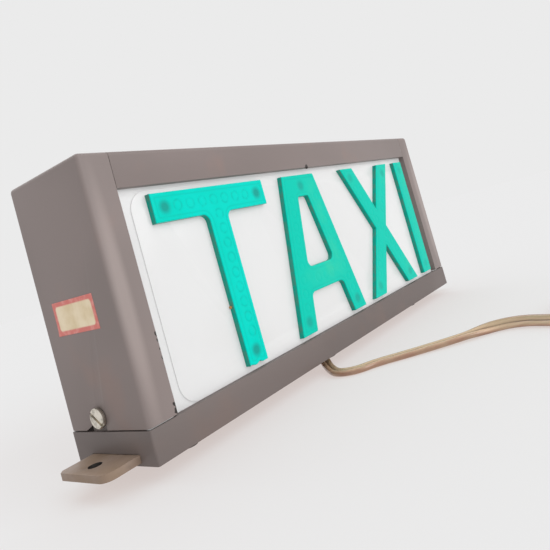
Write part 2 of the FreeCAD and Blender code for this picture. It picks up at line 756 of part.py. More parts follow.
def make_tee():
    """Mould the T: one bar and one stem."""
    low, high = "letter_low", "letter_high"
    bar = f"{high} - letter_stroke"
    stem = "letter_stroke / 2"
    outline = [
        ("tee_middle - tee_half", high),
        ("tee_middle + tee_half", high),
        ("tee_middle + tee_half", bar),
        (f"tee_middle + {stem}", bar),
        (f"tee_middle + {stem}", low),
        (f"tee_middle - {stem}", low),
        (f"tee_middle - {stem}", bar),
        ("tee_middle - tee_half", bar),
    ]
    bar_level = value("letter_high") - value("letter_stroke")
    make_letter(
        "letter_t",
        "tee",
        [outline],
        lambda middle, direction: abs(direction.y) > 0.1
        and abs(middle.z - bar_level) < 0.1
        and abs(middle.x - value("tee_middle")) < value("letter_stroke"),
    )


def aye_inside(height):
    """Give the half width between the A's legs at a height, as an expression."""
    slope = "(aye_foot - aye_head) / (letter_high - letter_low)"
    return f"(aye_foot - aye_leg - {slope} * ({height} - letter_low))"


def make_aye():
    """Mould the A: two sloping legs with a flat head, a crossbar and a closed opening."""
    low, high = "letter_low", "letter_high"
    foot, bar = aye_inside(low), aye_inside("aye_bar_low")
    outline = [
        ("aye_middle - aye_foot", low),
        ("aye_middle - aye_head", high),
        ("aye_middle + aye_head", high),
        ("aye_middle + aye_foot", low),
        (f"aye_middle + {foot}", low),
        (f"aye_middle + {bar}", "aye_bar_low"),
        (f"aye_middle - {bar}", "aye_bar_low"),
        (f"aye_middle - {foot}", low),
    ]
    wide, narrow = aye_inside("aye_bar_high"), aye_inside("aye_eye")
    opening = [
        (f"aye_middle - {wide}", "aye_bar_high"),
        (f"aye_middle - {narrow}", "aye_eye"),
        (f"aye_middle + {narrow}", "aye_eye"),
        (f"aye_middle + {wide}", "aye_bar_high"),
    ]
    corner_levels = [value("aye_bar_low"), value("aye_bar_high"), value("aye_eye")]
    make_letter(
        "letter_a",
        "aye",
        [outline, opening],
        lambda middle, direction: abs(direction.y) > 0.1
        and min(abs(middle.z - level) for level in corner_levels) < 0.1,
    )


def make_ex():
    """Mould the X: two crossing strokes with sharp notches."""
    low, high = "letter_low", "letter_high"
    inner = "(ex_half - ex_stroke)"
    run = "(2 * ex_half - ex_stroke)"
    notch = f"({high} - {low}) * {inner} / {run}"
    waist = "ex_stroke / 2"
    level = f"({high} + {low}) / 2"
    outline = [
        ("ex_middle - ex_half", high),
        (f"ex_middle - {inner}", high),
        ("ex_middle", f"{high} - {notch}"),
        (f"ex_middle + {inner}", high),
        ("ex_middle + ex_half", high),
        (f"ex_middle + {waist}", level),
        ("ex_middle + ex_half", low),
        (f"ex_middle + {inner}", low),
        ("ex_middle", f"{low} + {notch}"),
        (f"ex_middle - {inner}", low),
        ("ex_middle - ex_half", low),
        (f"ex_middle - {waist}", level),
    ]
    make_letter("letter_x", "ex", [outline], None)


def make_eye():
    """Mould the I: one upright stroke."""
    stem = "letter_stroke / 2"
    outline = [
        (f"eye_middle - {stem}", "letter_high"),
        (f"eye_middle + {stem}", "letter_high"),
        (f"eye_middle + {stem}", "letter_low"),
        (f"eye_middle - {stem}", "letter_low"),
    ]
    make_letter("letter_i", "eye", [outline], None)


def make_letter_screws():
    """Turn the screws that hold the letters from behind the panel."""
    solids = []
    for letter, points in letter_screw_points().items():
        for number, (x, z) in enumerate(points):
            name = f"letter_screw_{letter}_{number}"
            seat = (x, PANEL_BACK, z)
            reach = "panel_gauge + field_rise + 2"
            solids.append(rod(name + "_shank", "letter_screw_bore", reach, seat, "-y"))
            solids.append(rod(name + "_head", "letter_screw_head", "1.6", seat, "y"))
    keep("letter_screws", fuse("LetterScrews", solids))


def make_panel_clips():
    """Bend the six clips that press the panel against the window's edge."""
    solids = []
    for side in SIDES:
        for z in CLIP_HEIGHTS:
            height = (f"{z} - clip_half", f"{z} + clip_half")
            wall = box(
                f"clip_wall_{side}_{z}",
                sided(side, f"{HALF_X} - hood_gauge * 2", f"{HALF_X} - hood_gauge"),
                (PANEL_BACK, f"{PANEL_BACK} + clip_wall"),
                height,
            )
            finger = box(
                f"clip_finger_{side}_{z}",
                sided(side, f"{HALF_X} - hood_gauge - clip_finger", f"{HALF_X} - hood_gauge"),
                (PANEL_BACK, f"{PANEL_BACK} + hood_gauge"),
                height,
            )
            solids.append(fuse(f"clip_{side}_{z}", [wall, finger]))
    keep("panel_clips", fuse("PanelClips", solids))


def make_label():
    """Stick the paper label on the left end cap."""
    keep(
        "side_label",
        box(
            "SideLabel",
            sided("left", HALF_X, f"{HALF_X} + label_gauge"),
            ("label_front", "label_front + label_length"),
            ("label_low", "label_low + label_rise"),
        ),
    )


def make_lamp_bracket(side, x):
    """Bend one lamp bracket, a hat over the tray floor with a seat for the holder."""
    outer = box(
        f"lamp_hat_{side}",
        (f"{x} - hat_length", f"{x} + hat_length"),
        ("-hat_width", "hat_width"),
        (FLOOR, f"{FLOOR} + hat_rise"),
    )
    inner = box(
        f"lamp_hat_inside_{side}",
        (f"{x} - hat_length - 1", f"{x} + hat_length + 1"),
        ("hat_gauge - hat_width", "hat_width - hat_gauge"),
        (f"{FLOOR} - 1", f"{FLOOR} + hat_rise - hat_gauge"),
    )
    start = (x, "0", f"{FLOOR} + hat_rise - hat_gauge - 1")
    seat = rod(f"lamp_seat_{side}", "holder_outer", "hat_gauge + 2", start)
    keep(f"{side}_lamp_bracket", cut(f"LampBracket_{side}", outer, [inner, seat]))


def make_lampholder(side, x):
    """Turn one lampholder with the insulator, spring and contact inside it."""
    low = f"{FLOOR} + holder_low"
    tube = rod(f"holder_tube_{side}", "holder_outer", "holder_length", (x, "0", low))
    seat = (x, "0", f"{FLOOR} + hat_rise")
    collar = rod(f"holder_collar_{side}", "holder_outer + 2", "hat_gauge", seat)
    bore = rod(f"holder_bore_{side}", "holder_inner", "holder_length + 2", (x, "0", f"{low} - 1"))
    blank = fuse(f"holder_blank_{side}", [tube, collar])
    keep(f"{side}_lampholder", cut(f"Lampholder_{side}", blank, [bore]))
    base = (x, "0", f"{FLOOR} + insulator_low")
    keep(f"{side}_holder_insulator", rod(f"Insulator_{side}", "holder_inner", "insulator_gauge", base))
    foot = f"{FLOOR} + insulator_low + insulator_gauge"
    spring = rod(f"spring_outer_{side}", "spring_outer", "spring_length", (x, "0", foot))
    core = rod(f"spring_inner_{side}", "spring_inner", "spring_length + 2", (x, "0", f"{foot} - 1"))
    keep(f"{side}_contact_spring", cut(f"ContactSpring_{side}", spring, [core]))
    head = (x, "0", f"{foot} + spring_length")
    keep(f"{side}_centre_contact", rod(f"Contact_{side}", "contact_radius", "contact_gauge", head))


def make_bulb(side, x):
    """Turn one bulb: its cap, its neck and its globe."""
    low = f"{FLOOR} + bulb_cap_low"
    keep(f"{side}_bulb_cap", rod(f"BulbCap_{side}", "bulb_cap", "bulb_cap_length", (x, "0", low)))
    neck = rod(f"bulb_neck_{side}", "bulb_cap - 0.6", "8", (x, "0", f"{low} + bulb_cap_length"))
    globe = doc.addObject("Part::Sphere", f"bulb_globe_{side}")
    bind(globe, "Radius", "bulb_globe")
    place(globe, x, "0", f"{FLOOR} + bulb_centre")
    keep(f"{side}_bulb_glass", fuse(f"BulbGlass_{side}", [neck, globe]))


def make_lamps():
    """Build the two lamps."""
    for side in SIDES:
        x = signed(side, "lamp_x")
        make_lamp_bracket(side, x)
        make_lampholder(side, x)
        make_bulb(side, x)


def rounded_path(points, share=0.45):
    """Join points by straight runs and tangent arcs, and print each arc's radius.

    Each arc takes the same share of the shorter of its two runs.
    """
    corners = [V(*point) for point in points]
    edges = []
    radii = []
    start = corners[0]
    for before, corner, after in zip(corners, corners[1:], corners[2:]):
        back = before - corner
        ahead = after - corner
        reach = share * min(back.Length, ahead.Length)
        turn = math.pi - back.getAngle(ahead)
        radius = reach / math.tan(turn / 2)
        back.normalize()
        ahead.normalize()
        entry = corner + back * reach
        leave = corner + ahead * reach
        inward = back + ahead
        inward.normalize()
        centre = corner + inward * math.hypot(reach, radius)
        crest = centre - inward * radius
        edges.append(Part.LineSegment(start, entry).toShape())
        edges.append(Part.Arc(entry, crest, leave).toShape())
        radii.append(round(radius, 1))
        start = leave
    edges.append(Part.LineSegment(start, corners[-1]).toShape())
    return Part.Wire(edges), radii


def tube_along(points, radius, name):
    """Sweep a round section along a rounded path and compare its volume with section times length."""
    path, radii = rounded_path(points)
    heading = V(*points[1]) - V(*points[0])
    ring = Part.Wire([Part.Circle(V(*points[0]), heading, radius).toShape()])
    tube = path.makePipeShell([ring], True, False)
    expected = math.pi * radius**2 * path.Length
    print(f"{name}: length {path.Length:.1f}, radii {radii}, volume ratio {tube.Volume / expected:.4f}")
    return tube


def feature(node, shape):
    """Hold a swept shape in the document."""
    obj = doc.addObject("Part::Feature", "Swept_" + node)
    obj.Shape = shape
    obj.Placement = FreeCAD.Placement()
    return keep(node, obj)


def make_outlet():
    """Mould the grommet in the tray floor."""
    x, y = "outlet_x", "outlet_y"
    solids = [
        rod("grommet_low", "outlet_flange", "1.0", (x, y, "foot_rise - 1.0")),
        rod("grommet_neck", "outlet_hole", "tray_gauge", (x, y, "foot_rise")),
        rod("grommet_top", "outlet_flange", "1.2", (x, y, FLOOR)),
    ]
    bore = rod("grommet_bore", "outlet_bore", "8", (x, y, "foot_rise - 3"))
    keep("lead_grommet", cut("Grommet", fuse("grommet_blank", solids), [bore]))


def make_terminal_block():
    """Mould the two-way terminal block and its screws."""
    body = box(
        "terminal_body",
        ("terminal_left", "terminal_right"),
        ("terminal_y - terminal_half", "terminal_y + terminal_half"),
        (FLOOR, f"{FLOOR} + terminal_rise"),
    )
    wells = []
    screws = []
    low = f"{FLOOR} + terminal_rise - 3"
    for number, x in enumerate(("terminal_left + 5", "terminal_right - 5")):
        at = (x, "terminal_y", low)
        wells.append(rod(f"terminal_well_{number}", "terminal_screw", "4", at))
        screws.append(rod(f"terminal_screw_{number}", "terminal_screw", "2.4", at))
    keep("terminal_block", cut("TerminalBlock", body, wells))
    keep("terminal_screws", fuse("TerminalScrews", screws))


def make_wires():
    """Route the lead and the lamp wires inside the tray."""
    floor = value("foot_rise") + value("tray_gauge")
    x, y = value("outlet_x"), value("outlet_y")
    level = floor + 5.5
    block_left = value("terminal_left")
    block_y = value("terminal_y")
    inner_lead = [
        LEAD_ROUTE[0],
        (x + 1.8, y + 2.8, level - 4.8),
        (x + 5.0, y + 3.4, level - 0.6),
        (block_left - 6.0, block_y + 0.6, level + 0.4),
        (block_left, block_y, level),
    ]
    feature("inner_lead", tube_along(inner_lead, value("lead_radius"), "inner lead"))
    lamp = value("lamp_x")
    underside = floor + value("insulator_low")
    right = [
        (value("terminal_right"), block_y, level),
        (34.0, -13.4, level + 1.5),
        (50.0, -8.0, level + 0.5),
        (lamp - 6.0, -1.5, level - 0.6),
        (lamp, 0.0, underside),
    ]
    feature("right_lamp_wire", tube_along(right, WIRE_RADIUS, "right lamp wire"))
    left = [
        (2.0, block_y + value("terminal_half"), level),
        (-1.0, 4.0, level + 1.0),
        (-16.0, 9.0, level + 1.5),
        (-42.0, 6.0, level + 1.0),
        (6.0 - lamp, 1.5, level - 0.6),
        (-lamp, 0.0, underside),
    ]
    feature("left_lamp_wire", tube_along(left, WIRE_RADIUS, "left lamp wire"))


def make_lead():
    """Lay the free lead: its route on the resting plane, the put-away coil and the connector."""
    feature("lead_tube", tube_along(LEAD_ROUTE, value("lead_radius"), "lead"))
    feature("lead_tail", tube_along(LEAD_TAIL, value("lead_radius"), "lead tail"))
    disc = rod("coil_disc", "coil_outer", "coil_rise", ("coil_x", "coil_y", "0"))
    core = rod("coil_core", "coil_inner", "coil_rise + 2", ("coil_x", "coil_y", "-1"))
    keep("lead_coil", cut("LeadCoil", disc, [core]))


def make_connector():
    """Mould the in-line connector on the end of the lead, with its two pins."""
    across, start, height = LEAD_TAIL[-1]
    tip = f"{start} - connector_length"
    shell = box(
        "connector_shell",
        (f"{across} - connector_half", f"{across} + connector_half"),
        (tip, str(start)),
        (f"{height} - connector_rise / 2", f"{height} + connector_rise / 2"),
    )
    keep("lead_connector", shell)
    pins = []
    for hand, shift in (("left", "-pin_shift"), ("right", "+pin_shift")):
        at = (f"{across} {shift}", tip, str(height))
        pins.append(rod(f"connector_pin_{hand}", "pin_radius", "pin_length", at, "-y"))
    keep("connector_pins", fuse("ConnectorPins", pins))


def write_parts():
    """Check every object and write one file for each node."""
    doc.recompute()
    for obj in doc.Objects:
        if "Invalid" in obj.State or "Error" in obj.State:
            raise RuntimeError(f"{obj.Name} failed: {obj.State}")
    for node, obj in NODES.items():
        shape = obj.Shape
        if shape.isNull() or not shape.isValid() or not shape.Solids:
            raise RuntimeError(f"{node} has no valid solid")
        print(f"{node}: {len(shape.Solids)} solids, {shape.Volume:.0f} mm3")
    os.makedirs("parts", exist_ok=True)
    for node, obj in NODES.items():
        obj.Shape.exportStep(f"parts/{node}.step")


doc = FreeCAD.newDocument("RoofSign")
SIZES = {alias: size for alias, size, _meaning in DIMENSIONS}
NODES = {}
make_sheet()
make_tray()
make_ears()
make_rivets()
make_feet()
make_brackets()
make_side_screws()
make_end_caps()
make_seam_rivets()
make_top_cover()
make_panel()
make_tee()
make_aye()
make_ex()
make_eye()
make_letter_screws()
make_panel_clips()
make_label()
make_lamps()
make_outlet()
make_terminal_block()
make_wires()
make_lead()
make_connector()
write_parts()
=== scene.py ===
"""Looks of a lit cab roof sign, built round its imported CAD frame.

Metres, +X along the sign, -Y out of the face that is read, +Z up, floor at zero.
"""

import json
import logging
import math
from dataclasses import dataclass
from enum import Enum
from typing import Any, Sequence

import bmesh
import bpy
import numpy as np
from mathutils import Matrix, Vector
from mathutils.geometry import delaunay_2d_cdt


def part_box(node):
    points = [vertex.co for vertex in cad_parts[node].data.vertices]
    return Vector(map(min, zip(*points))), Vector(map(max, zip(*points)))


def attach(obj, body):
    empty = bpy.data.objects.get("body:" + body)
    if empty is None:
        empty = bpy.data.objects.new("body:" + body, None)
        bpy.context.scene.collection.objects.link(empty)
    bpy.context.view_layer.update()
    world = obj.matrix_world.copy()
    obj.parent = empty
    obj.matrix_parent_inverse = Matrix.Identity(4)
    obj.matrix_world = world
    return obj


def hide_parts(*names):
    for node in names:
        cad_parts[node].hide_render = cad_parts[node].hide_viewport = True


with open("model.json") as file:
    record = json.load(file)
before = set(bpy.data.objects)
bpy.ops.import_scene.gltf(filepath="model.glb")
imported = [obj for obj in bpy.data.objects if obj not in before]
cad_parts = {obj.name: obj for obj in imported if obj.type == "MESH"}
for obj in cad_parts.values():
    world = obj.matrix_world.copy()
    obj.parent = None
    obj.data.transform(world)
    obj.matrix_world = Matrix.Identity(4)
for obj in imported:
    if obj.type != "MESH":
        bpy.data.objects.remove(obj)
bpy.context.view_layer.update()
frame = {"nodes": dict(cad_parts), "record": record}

MM = 0.001
log = logging.getLogger("roof_sign")


# ---------------------------------------------------------------- small tools


def linear(code: str, alpha: float = 1.0) -> tuple[float, float, float, float]:
    """Turn an sRGB hex colour into linear light.

    Args:
        code: six hex digits, with or without a hash.
        alpha: opacity.

    Returns:
        Linear red, green and blue, and alpha.
    """
    digits = code.lstrip("#")
    shares = [int(digits[i : i + 2], 16) / 255 for i in (0, 2, 4)]
    curve = [s / 12.92 if s <= 0.04045 else ((s + 0.055) / 1.055) ** 2.4 for s in shares]
    return (curve[0], curve[1], curve[2], alpha)


def feed(tree: bpy.types.NodeTree, node: bpy.types.Node, inputs: dict[Any, Any]) -> None:
    """Set a node's inputs.

    Args:
        tree: the tree it is in.
        node: the node.
        inputs: by socket name or number, a value or another node's output.
    """
    for key, value in inputs.items():
        if isinstance(value, bpy.types.NodeSocket):
            tree.links.new(value, node.inputs[key])
        else:
            node.inputs[key].default_value = value


def add_node(
    tree: bpy.types.NodeTree,
    kind: str,
    inputs: dict[Any, Any] | None = None,
    **settings: Any,
) -> bpy.types.Node:
    """Add a node with its settings, values and links.

    Args:
        tree: the tree it goes into.
        kind: the node type, without the ShaderNode prefix.
        inputs: by socket name or number, a value or another node's output.
        settings: the node's own properties.

    Returns:
        The new node.
    """
    node = tree.nodes.new("ShaderNode" + kind)
    for name, value in settings.items():
        setattr(node, name, value)
    feed(tree, node, inputs or {})
    return node


def per(size_mm: float) -> float:
    """Give a texture scale on Object coordinates for a feature of a real size."""
    return 1000.0 / size_mm


def new_mesh(
    name: str,
    points: np.ndarray,
    faces: Sequence[Sequence[int]] | np.ndarray,
    smooth: bool = True,
) -> bpy.types.Object:
    """Make an object at the origin from points in metres and faces.

    Args:
        name: the piece's name.
        points: one row for each vertex.
        faces: corner numbers of each face, counter-clockwise from outside.
        smooth: shade it smooth.

    Returns:
        The object, linked to the scene.
    """
    mesh = bpy.data.meshes.new(name)
    mesh.from_pydata(np.asarray(points, float).tolist(), [], [list(map(int, f)) for f in faces])
    mesh.polygons.foreach_set("use_smooth", np.full(len(mesh.polygons), smooth))
    mesh.update()
    obj = bpy.data.objects.new(name, mesh)
    bpy.context.scene.collection.objects.link(obj)
    return obj


def grid_faces(rows: int, columns: int, wrap_columns: bool = False) -> np.ndarray:
    """Give the quads of a grid of points stored row by row.

    Args:
        rows: number of rows.
        columns: number of columns.
        wrap_columns: join the last column to the first.

    Returns:
        One row of four corner numbers for each quad.
    """
    across = np.arange(columns if wrap_columns else columns - 1)
    i, j = np.meshgrid(np.arange(rows - 1), across, indexing="ij")
    here, right = i * columns + j, i * columns + (j + 1) % columns
    return np.stack([here, right, right + columns, here + columns], -1).reshape(-1, 4)


def turned(
    name: str,
    profile: Sequence[tuple[float, float]],
    centre: Sequence[float],
    axis: Sequence[float] = (0, 0, 1),
    steps: int = 64,
) -> bpy.types.Object:
    """Turn a profile about an axis.

    A point is centre + axis * height + radius * (cos(angle) * side + sin(angle) * other side).

    Args:
        name: the piece's name.
        profile: (radius, height) in millimetres, from the low pole to the high pole.
        centre: where height zero lies, in metres.
        axis: unit direction of height.
        steps: points round the axis.

    Returns:
        The closed piece.
    """
    radius, height = np.array(profile, float).T * MM
    up = np.array(axis, float)
    side = np.cross(up, (0, 1, 0) if abs(up[1]) < 0.9 else (1, 0, 0))
    side /= np.linalg.norm(side)
    other = np.cross(up, side)
    angle = np.linspace(0, 2 * math.pi, steps, endpoint=False)
    ring = np.cos(angle)[:, None] * side + np.sin(angle)[:, None] * other
    points = np.array(centre, float) + height[:, None, None] * up + radius[:, None, None] * ring[None]
    obj = new_mesh(name, points.reshape(-1, 3), grid_faces(len(radius), steps, wrap_columns=True))
    merge(obj)
    return obj


def merge(obj: bpy.types.Object, distance: float = 1e-6, flat_angle: float | None = None) -> None:
    """Weld a mesh's doubles, close its poles and point its faces outwards.

    Args:
        obj: the piece.
        distance: how near two points are one, in metres.
        flat_angle: if given, faces that lie flatter than this angle, in degrees, become one.
    """
    work = bmesh.new()
    work.from_mesh(obj.data)
    bmesh.ops.remove_doubles(work, verts=work.verts[:], dist=distance)
    if flat_angle is not None:
        limit = math.radians(flat_angle)
        bmesh.ops.dissolve_limit(work, angle_limit=limit, verts=work.verts[:], edges=work.edges[:])
    bmesh.ops.recalc_face_normals(work, faces=work.faces[:])
    work.to_mesh(obj.data)
    work.free()
    obj.data.update()


def wire_along(name: str, line: np.ndarray, radius_mm: float, sides: int = 8) -> bpy.types.Object:
    """Carry a round section along a line.

    A ring's side is the line's heading crossed with +Y, which no wire here follows.

    Args:
        name: the piece's name.
        line: points of the wire's middle, metres.
        radius_mm: the wire's radius.
        sides: points round the section.

    Returns:
        The closed piece.
    """
    step = np.gradient(line, axis=0)
    ahead = step / np.linalg.norm(step, axis=1, keepdims=True)
    side = np.cross(ahead, (0.0, 1.0, 0.0))
    side /= np.linalg.norm(side, axis=1, keepdims=True)
    other = np.cross(ahead, side)
    angle = np.linspace(0, 2 * math.pi, sides, endpoint=False)[None, :, None]
    ring = (np.cos(angle) * side[:, None] + np.sin(angle) * other[:, None]) * radius_mm * MM
    points = (line[:, None] + ring).reshape(-1, 3)
    count = len(points)
    caps = [list(range(sides))[::-1], list(range(count - sides, count))]
    obj = new_mesh(name, points, [*grid_faces(len(line), sides, wrap_columns=True).tolist(), *caps])
    merge(obj, 1e-8)
    return obj


def softened(node: str, width_mm: float, segments: int = 2) -> bpy.types.Object:
    """Copy a CAD node and break its sharp edges, as tumbling, folding or paint does.

    Args:
        node: the CAD node that the copy replaces.
        width_mm: how much of each edge is rounded.
        segments: faces across each rounded edge.

    Returns:
        The copy, which stands for the node.
    """
    mesh = frame["nodes"][node].data.copy()
    mesh.materials.clear()
    obj = bpy.data.objects.new(node + "_edged", mesh)
    bpy.context.scene.collection.objects.link(obj)
    merge(obj, 2e-6, 0.4)
    mesh.polygons.foreach_set("use_smooth", np.ones(len(mesh.polygons), bool))
    bevel = obj.modifiers.new("Edges", "BEVEL")
    bevel.width = width_mm * MM
    bevel.segments = segments
    bevel.limit_method = "ANGLE"
    bevel.angle_limit = math.radians(40)
    bevel.harden_normals = True
    stand_for(obj, node)
    return obj


def stand_for(obj: bpy.types.Object, node: str) -> None:
    """Let a piece ride on its CAD node's body and stand in the node's place."""
    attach(obj, body_of(node))
    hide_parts(node)


def mark_points(obj: bpy.types.Object, name: str, values: np.ndarray) -> None:
    """Store one number for each of a mesh's points, for its material to read."""
    attribute = obj.data.attributes.new(name, "FLOAT", "POINT")
    attribute.data.foreach_set("value", values.ravel().astype(np.float32))


def body_of(node: str) -> str:
    """Give the name of the body that a CAD node rides on."""
    bodies = frame["record"]["behaviour"]["bodies"]
    return next(body for body, nodes in bodies.items() if node in nodes)


def dress(obj: bpy.types.Object, finish: "Finish") -> bpy.types.Object:
    """Give a piece one finish, and log the finish's name.

    Args:
        obj: the piece.
        finish: what it is made of.

    Returns:
        The same piece.
    """
    obj.data.materials.clear()
    obj.data.materials.append(finish.material())
    log.info("%s is dressed in %s", obj.name, finish.name)
    return obj


# ------------------------------------------------------------------- finishes


@dataclass(frozen=True)
class Finish:
    """A named surface: what it is made of and how it was made.

    Attributes:
        name: common name of the material and its process.
        slot: the record's material slot; not used.
        base: main colour, sRGB hex.
        roughness: middle roughness.
    """

    name: str
    slot: str
    base: str
    roughness: float

    def material(self) -> bpy.types.Material:
        """Give the material, built the first time it is asked for.

        Returns:
            The one material that every piece with this finish shares.
        """
        known = bpy.data.materials.get(self.name)
        if known is not None:
            return known
        made = bpy.data.materials.new(self.name)
        made.use_nodes = True
        shader = made.node_tree.nodes["Principled BSDF"]
        made.diffuse_color = linear(self.base)
        feed(made.node_tree, shader, {"Base Color": linear(self.base), "Roughness": self.roughness})
        self.surface(made.node_tree, shader)
        return made

    def surface(self, tree: bpy.types.NodeTree, shader: bpy.types.Node) -> None:
        """Add the finish's own pattern; a plain finish has none."""

    @staticmethod
    def place(tree: bpy.types.NodeTree) -> bpy.types.NodeSocket:
        """Give the object coordinates, in metres."""
        return add_node(tree, "TexCoord").outputs["Object"]

    @staticmethod
    def noise(
        tree: bpy.types.NodeTree,
        size_mm: float,
        detail: float = 3.0,
        stretch: tuple[float, float, float] = (1, 1, 1),
    ) -> bpy.types.NodeSocket:
        """Give a noise of a real size.

        Args:
            tree: the material's tree.
            size_mm: size of its blotches.
            detail: octaves.
            stretch: scale along each axis, for brushed or drawn surfaces.

        Returns:
            The noise value, about 0.3 to 0.7.
        """
        spot = add_node(tree, "VectorMath", {0: Finish.place(tree), 1: stretch}, operation="MULTIPLY")
        settings = {"Vector": spot.outputs[0], "Scale": per(size_mm), "Detail": detail}
        return add_node(tree, "TexNoise", settings).outputs["Fac"]

    @staticmethod
    def band(
        tree: bpy.types.NodeTree,
        value: bpy.types.NodeSocket,
        low: float,
        high: float,
        to_low: float = 0.0,
        to_high: float = 1.0,
    ) -> bpy.types.NodeSocket:
        """Map a value from one range to another, held and eased at both ends.

        Args:
            tree: the material's tree.
            value: what is mapped.
            low: where the result starts to change.
            high: where it stops changing.
            to_low: the result at low and below.
            to_high: the result at high and above.

        Returns:
            The mapped value.
        """
        ends = {"Value": value, "From Min": low, "From Max": high, "To Min": to_low, "To Max": to_high}
        return add_node(tree, "MapRange", ends, interpolation_type="SMOOTHSTEP").outputs[0]

    @staticmethod
    def blend(
        tree: bpy.types.NodeTree, share: bpy.types.NodeSocket, first: Any, second: Any
    ) -> bpy.types.NodeSocket:
        """Mix two colours, each a value or a socket, by a share of the second."""
        return add_node(tree, "Mix", {0: share, 6: first, 7: second}, data_type="RGBA").outputs[2]

    @staticmethod
    def bump(
        tree: bpy.types.NodeTree, height: bpy.types.NodeSocket, depth_mm: float
    ) -> bpy.types.NodeSocket:
        """Turn a height of 0 to 1 into a normal for a relief of a real depth."""
        relief = {"Height": height, "Strength": 1.0, "Distance": depth_mm * MM}
        return add_node(tree, "Bump", relief).outputs[0]

    @staticmethod
    def edges(tree: bpy.types.NodeTree, radius_mm: float) -> bpy.types.NodeSocket:
        """Find the sharp edges, where the surface's rounded normal leaves the true one.

        Args:
            tree: the material's tree.
            radius_mm: how far from an edge it is still felt.

        Returns:
            0 on a flat and more towards 1 near an edge.
        """
        rounded = add_node(tree, "Bevel", {"Radius": radius_mm * MM}, samples=6).outputs[0]
        true = add_node(tree, "NewGeometry").outputs["Normal"]
        match = add_node(tree, "VectorMath", {0: rounded, 1: true}, operation="DOT_PRODUCT").outputs["Value"]
        return add_node(tree, "Math", {0: 1.0, 1: match}, operation="SUBTRACT", use_clamp=True).outputs[0]

    @staticmethod
    def fleck(tree: bpy.types.NodeTree, spot_mm: tuple[float, float, float, float]) -> bpy.types.NodeSocket:
        """Give 1 inside a small ragged fleck and 0 outside.

        Args:
            tree: the material's tree.
            spot_mm: middle (x, y, z) and radius, millimetres.

        Returns:
            The share; the fleck's outline wavers by about half its radius.
        """
        *middle, radius = spot_mm
        wobble = add_node(tree, "TexNoise", {"Vector": Finish.place(tree), "Scale": per(1.6), "Detail": 2.0})
        centred = {0: wobble.outputs["Color"], 1: (0.5, 0.5, 0.5)}
        shift = add_node(tree, "VectorMath", centred, operation="SUBTRACT").outputs[0]
        shift = add_node(tree, "VectorMath", {0: shift, 3: radius * 1.6 * MM}, operation="SCALE").outputs[0]
        spot = add_node(tree, "VectorMath", {0: Finish.place(tree), 1: shift}, operation="ADD").outputs[0]
        ends = {0: spot, 1: tuple(size * MM for size in middle)}
        away = add_node(tree, "VectorMath", ends, operation="DISTANCE").outputs["Value"]
        return Finish.band(tree, away, radius * 0.75 * MM, radius * MM, 1.0, 0.0)


@dataclass(frozen=True)
class StovedPaint(Finish):
    """Satin paint stoved on folded sheet: soft clouds, warm blotches, rubbed edges, a few chips.

    Attributes:
        shade: colour of the darker clouds.
        blotch: colour of the warm blotches.
        rubbed: colour where an edge is rubbed.
        chips: (x, y, z, radius) in millimetres of chips down to the dark sheet.
        sheen_patches: (x, y, z, half width, half height) in millimetres of painted highlight patches, paler
            bands for the satin paint's sheen near a fold.
        wear: how strongly the edges are rubbed.
    """

    shade: str = "776E6B"
    blotch: str = "94786E"
    rubbed: str = "A39A93"
    chips: tuple[tuple[float, float, float, float], ...] = ()
    sheen_patches: tuple[tuple[float, float, float, float, float], ...] = ()
    wear: float = 0.4

    def surface(self, tree: bpy.types.NodeTree, shader: bpy.types.Node) -> None:
        """Cloud the paint, paint highlight patches on it, wear its edges and chip it.

        Args:
            tree: the material's tree.
            shader: its main shader.
        """
        cloudy = self.band(tree, self.noise(tree, 70, 2), 0.32, 0.7)
        share = self.band(tree, cloudy, 0, 1, 0.0, 0.36)
        colour = self.blend(tree, share, linear(self.base), linear(self.shade))
        blotchy = self.band(tree, self.noise(tree, 26, 2), 0.54, 0.78, 0.0, 0.34)
        colour = self.blend(tree, blotchy, colour, linear(self.blotch))
        # Painted highlight: each patch lightens the paint towards AA9D99, for the satin paint's sheen near a
        # fold.
        for sheen_patch in self.sheen_patches:
            colour = self.blend(tree, self.painted_sheen(tree, sheen_patch), colour, linear("AA9D99"))
        worn = self.band(tree, self.edges(tree, 0.9), 0.10, 0.42)
        ragged = self.band(tree, self.noise(tree, 3.2, 4), 0.38, 0.66, 0.0, self.wear)
        bare = add_node(tree, "Math", {0: worn, 1: ragged}, operation="MULTIPLY").outputs[0]
        colour = self.blend(tree, bare, colour, linear(self.rubbed))
        for chip in self.chips:
            colour = self.blend(tree, self.fleck(tree, chip), colour, linear("2B2523"))
        gloss = self.band(tree, cloudy, 0, 1, self.roughness - 0.03, self.roughness + 0.04)
        grain = self.bump(tree, self.noise(tree, 1.4, 2), 0.012)
        looks = {"Base Color": colour, "Roughness": gloss, "Normal": grain, "Specular IOR Level": 0.3}
        feed(tree, shader, looks)

    def painted_sheen(
        self, tree: bpy.types.NodeTree, sheen_patch: tuple[float, float, float, float, float]
    ) -> bpy.types.NodeSocket:
        """Fade a painted highlight patch out from its middle, evenly in every direction of an ellipsoid.

        Args:
            tree: the material's tree.
            sheen_patch: middle (x, y, z), half width and half height, millimetres.

        Returns:
            The share of the painted highlight colour, at most a half.
        """
        *middle, wide, tall = sheen_patch
        ends = {0: self.place(tree), 1: tuple(size * MM for size in middle)}
        apart = add_node(tree, "VectorMath", ends, operation="SUBTRACT").outputs[0]
        shares = {0: apart, 1: (per(wide), per(wide), per(tall))}
        apart = add_node(tree, "VectorMath", shares, operation="MULTIPLY").outputs[0]
        away = add_node(tree, "VectorMath", {0: apart}, operation="LENGTH").outputs["Value"]
        return self.band(tree, away, 0.25, 1.0, 0.5, 0.0)


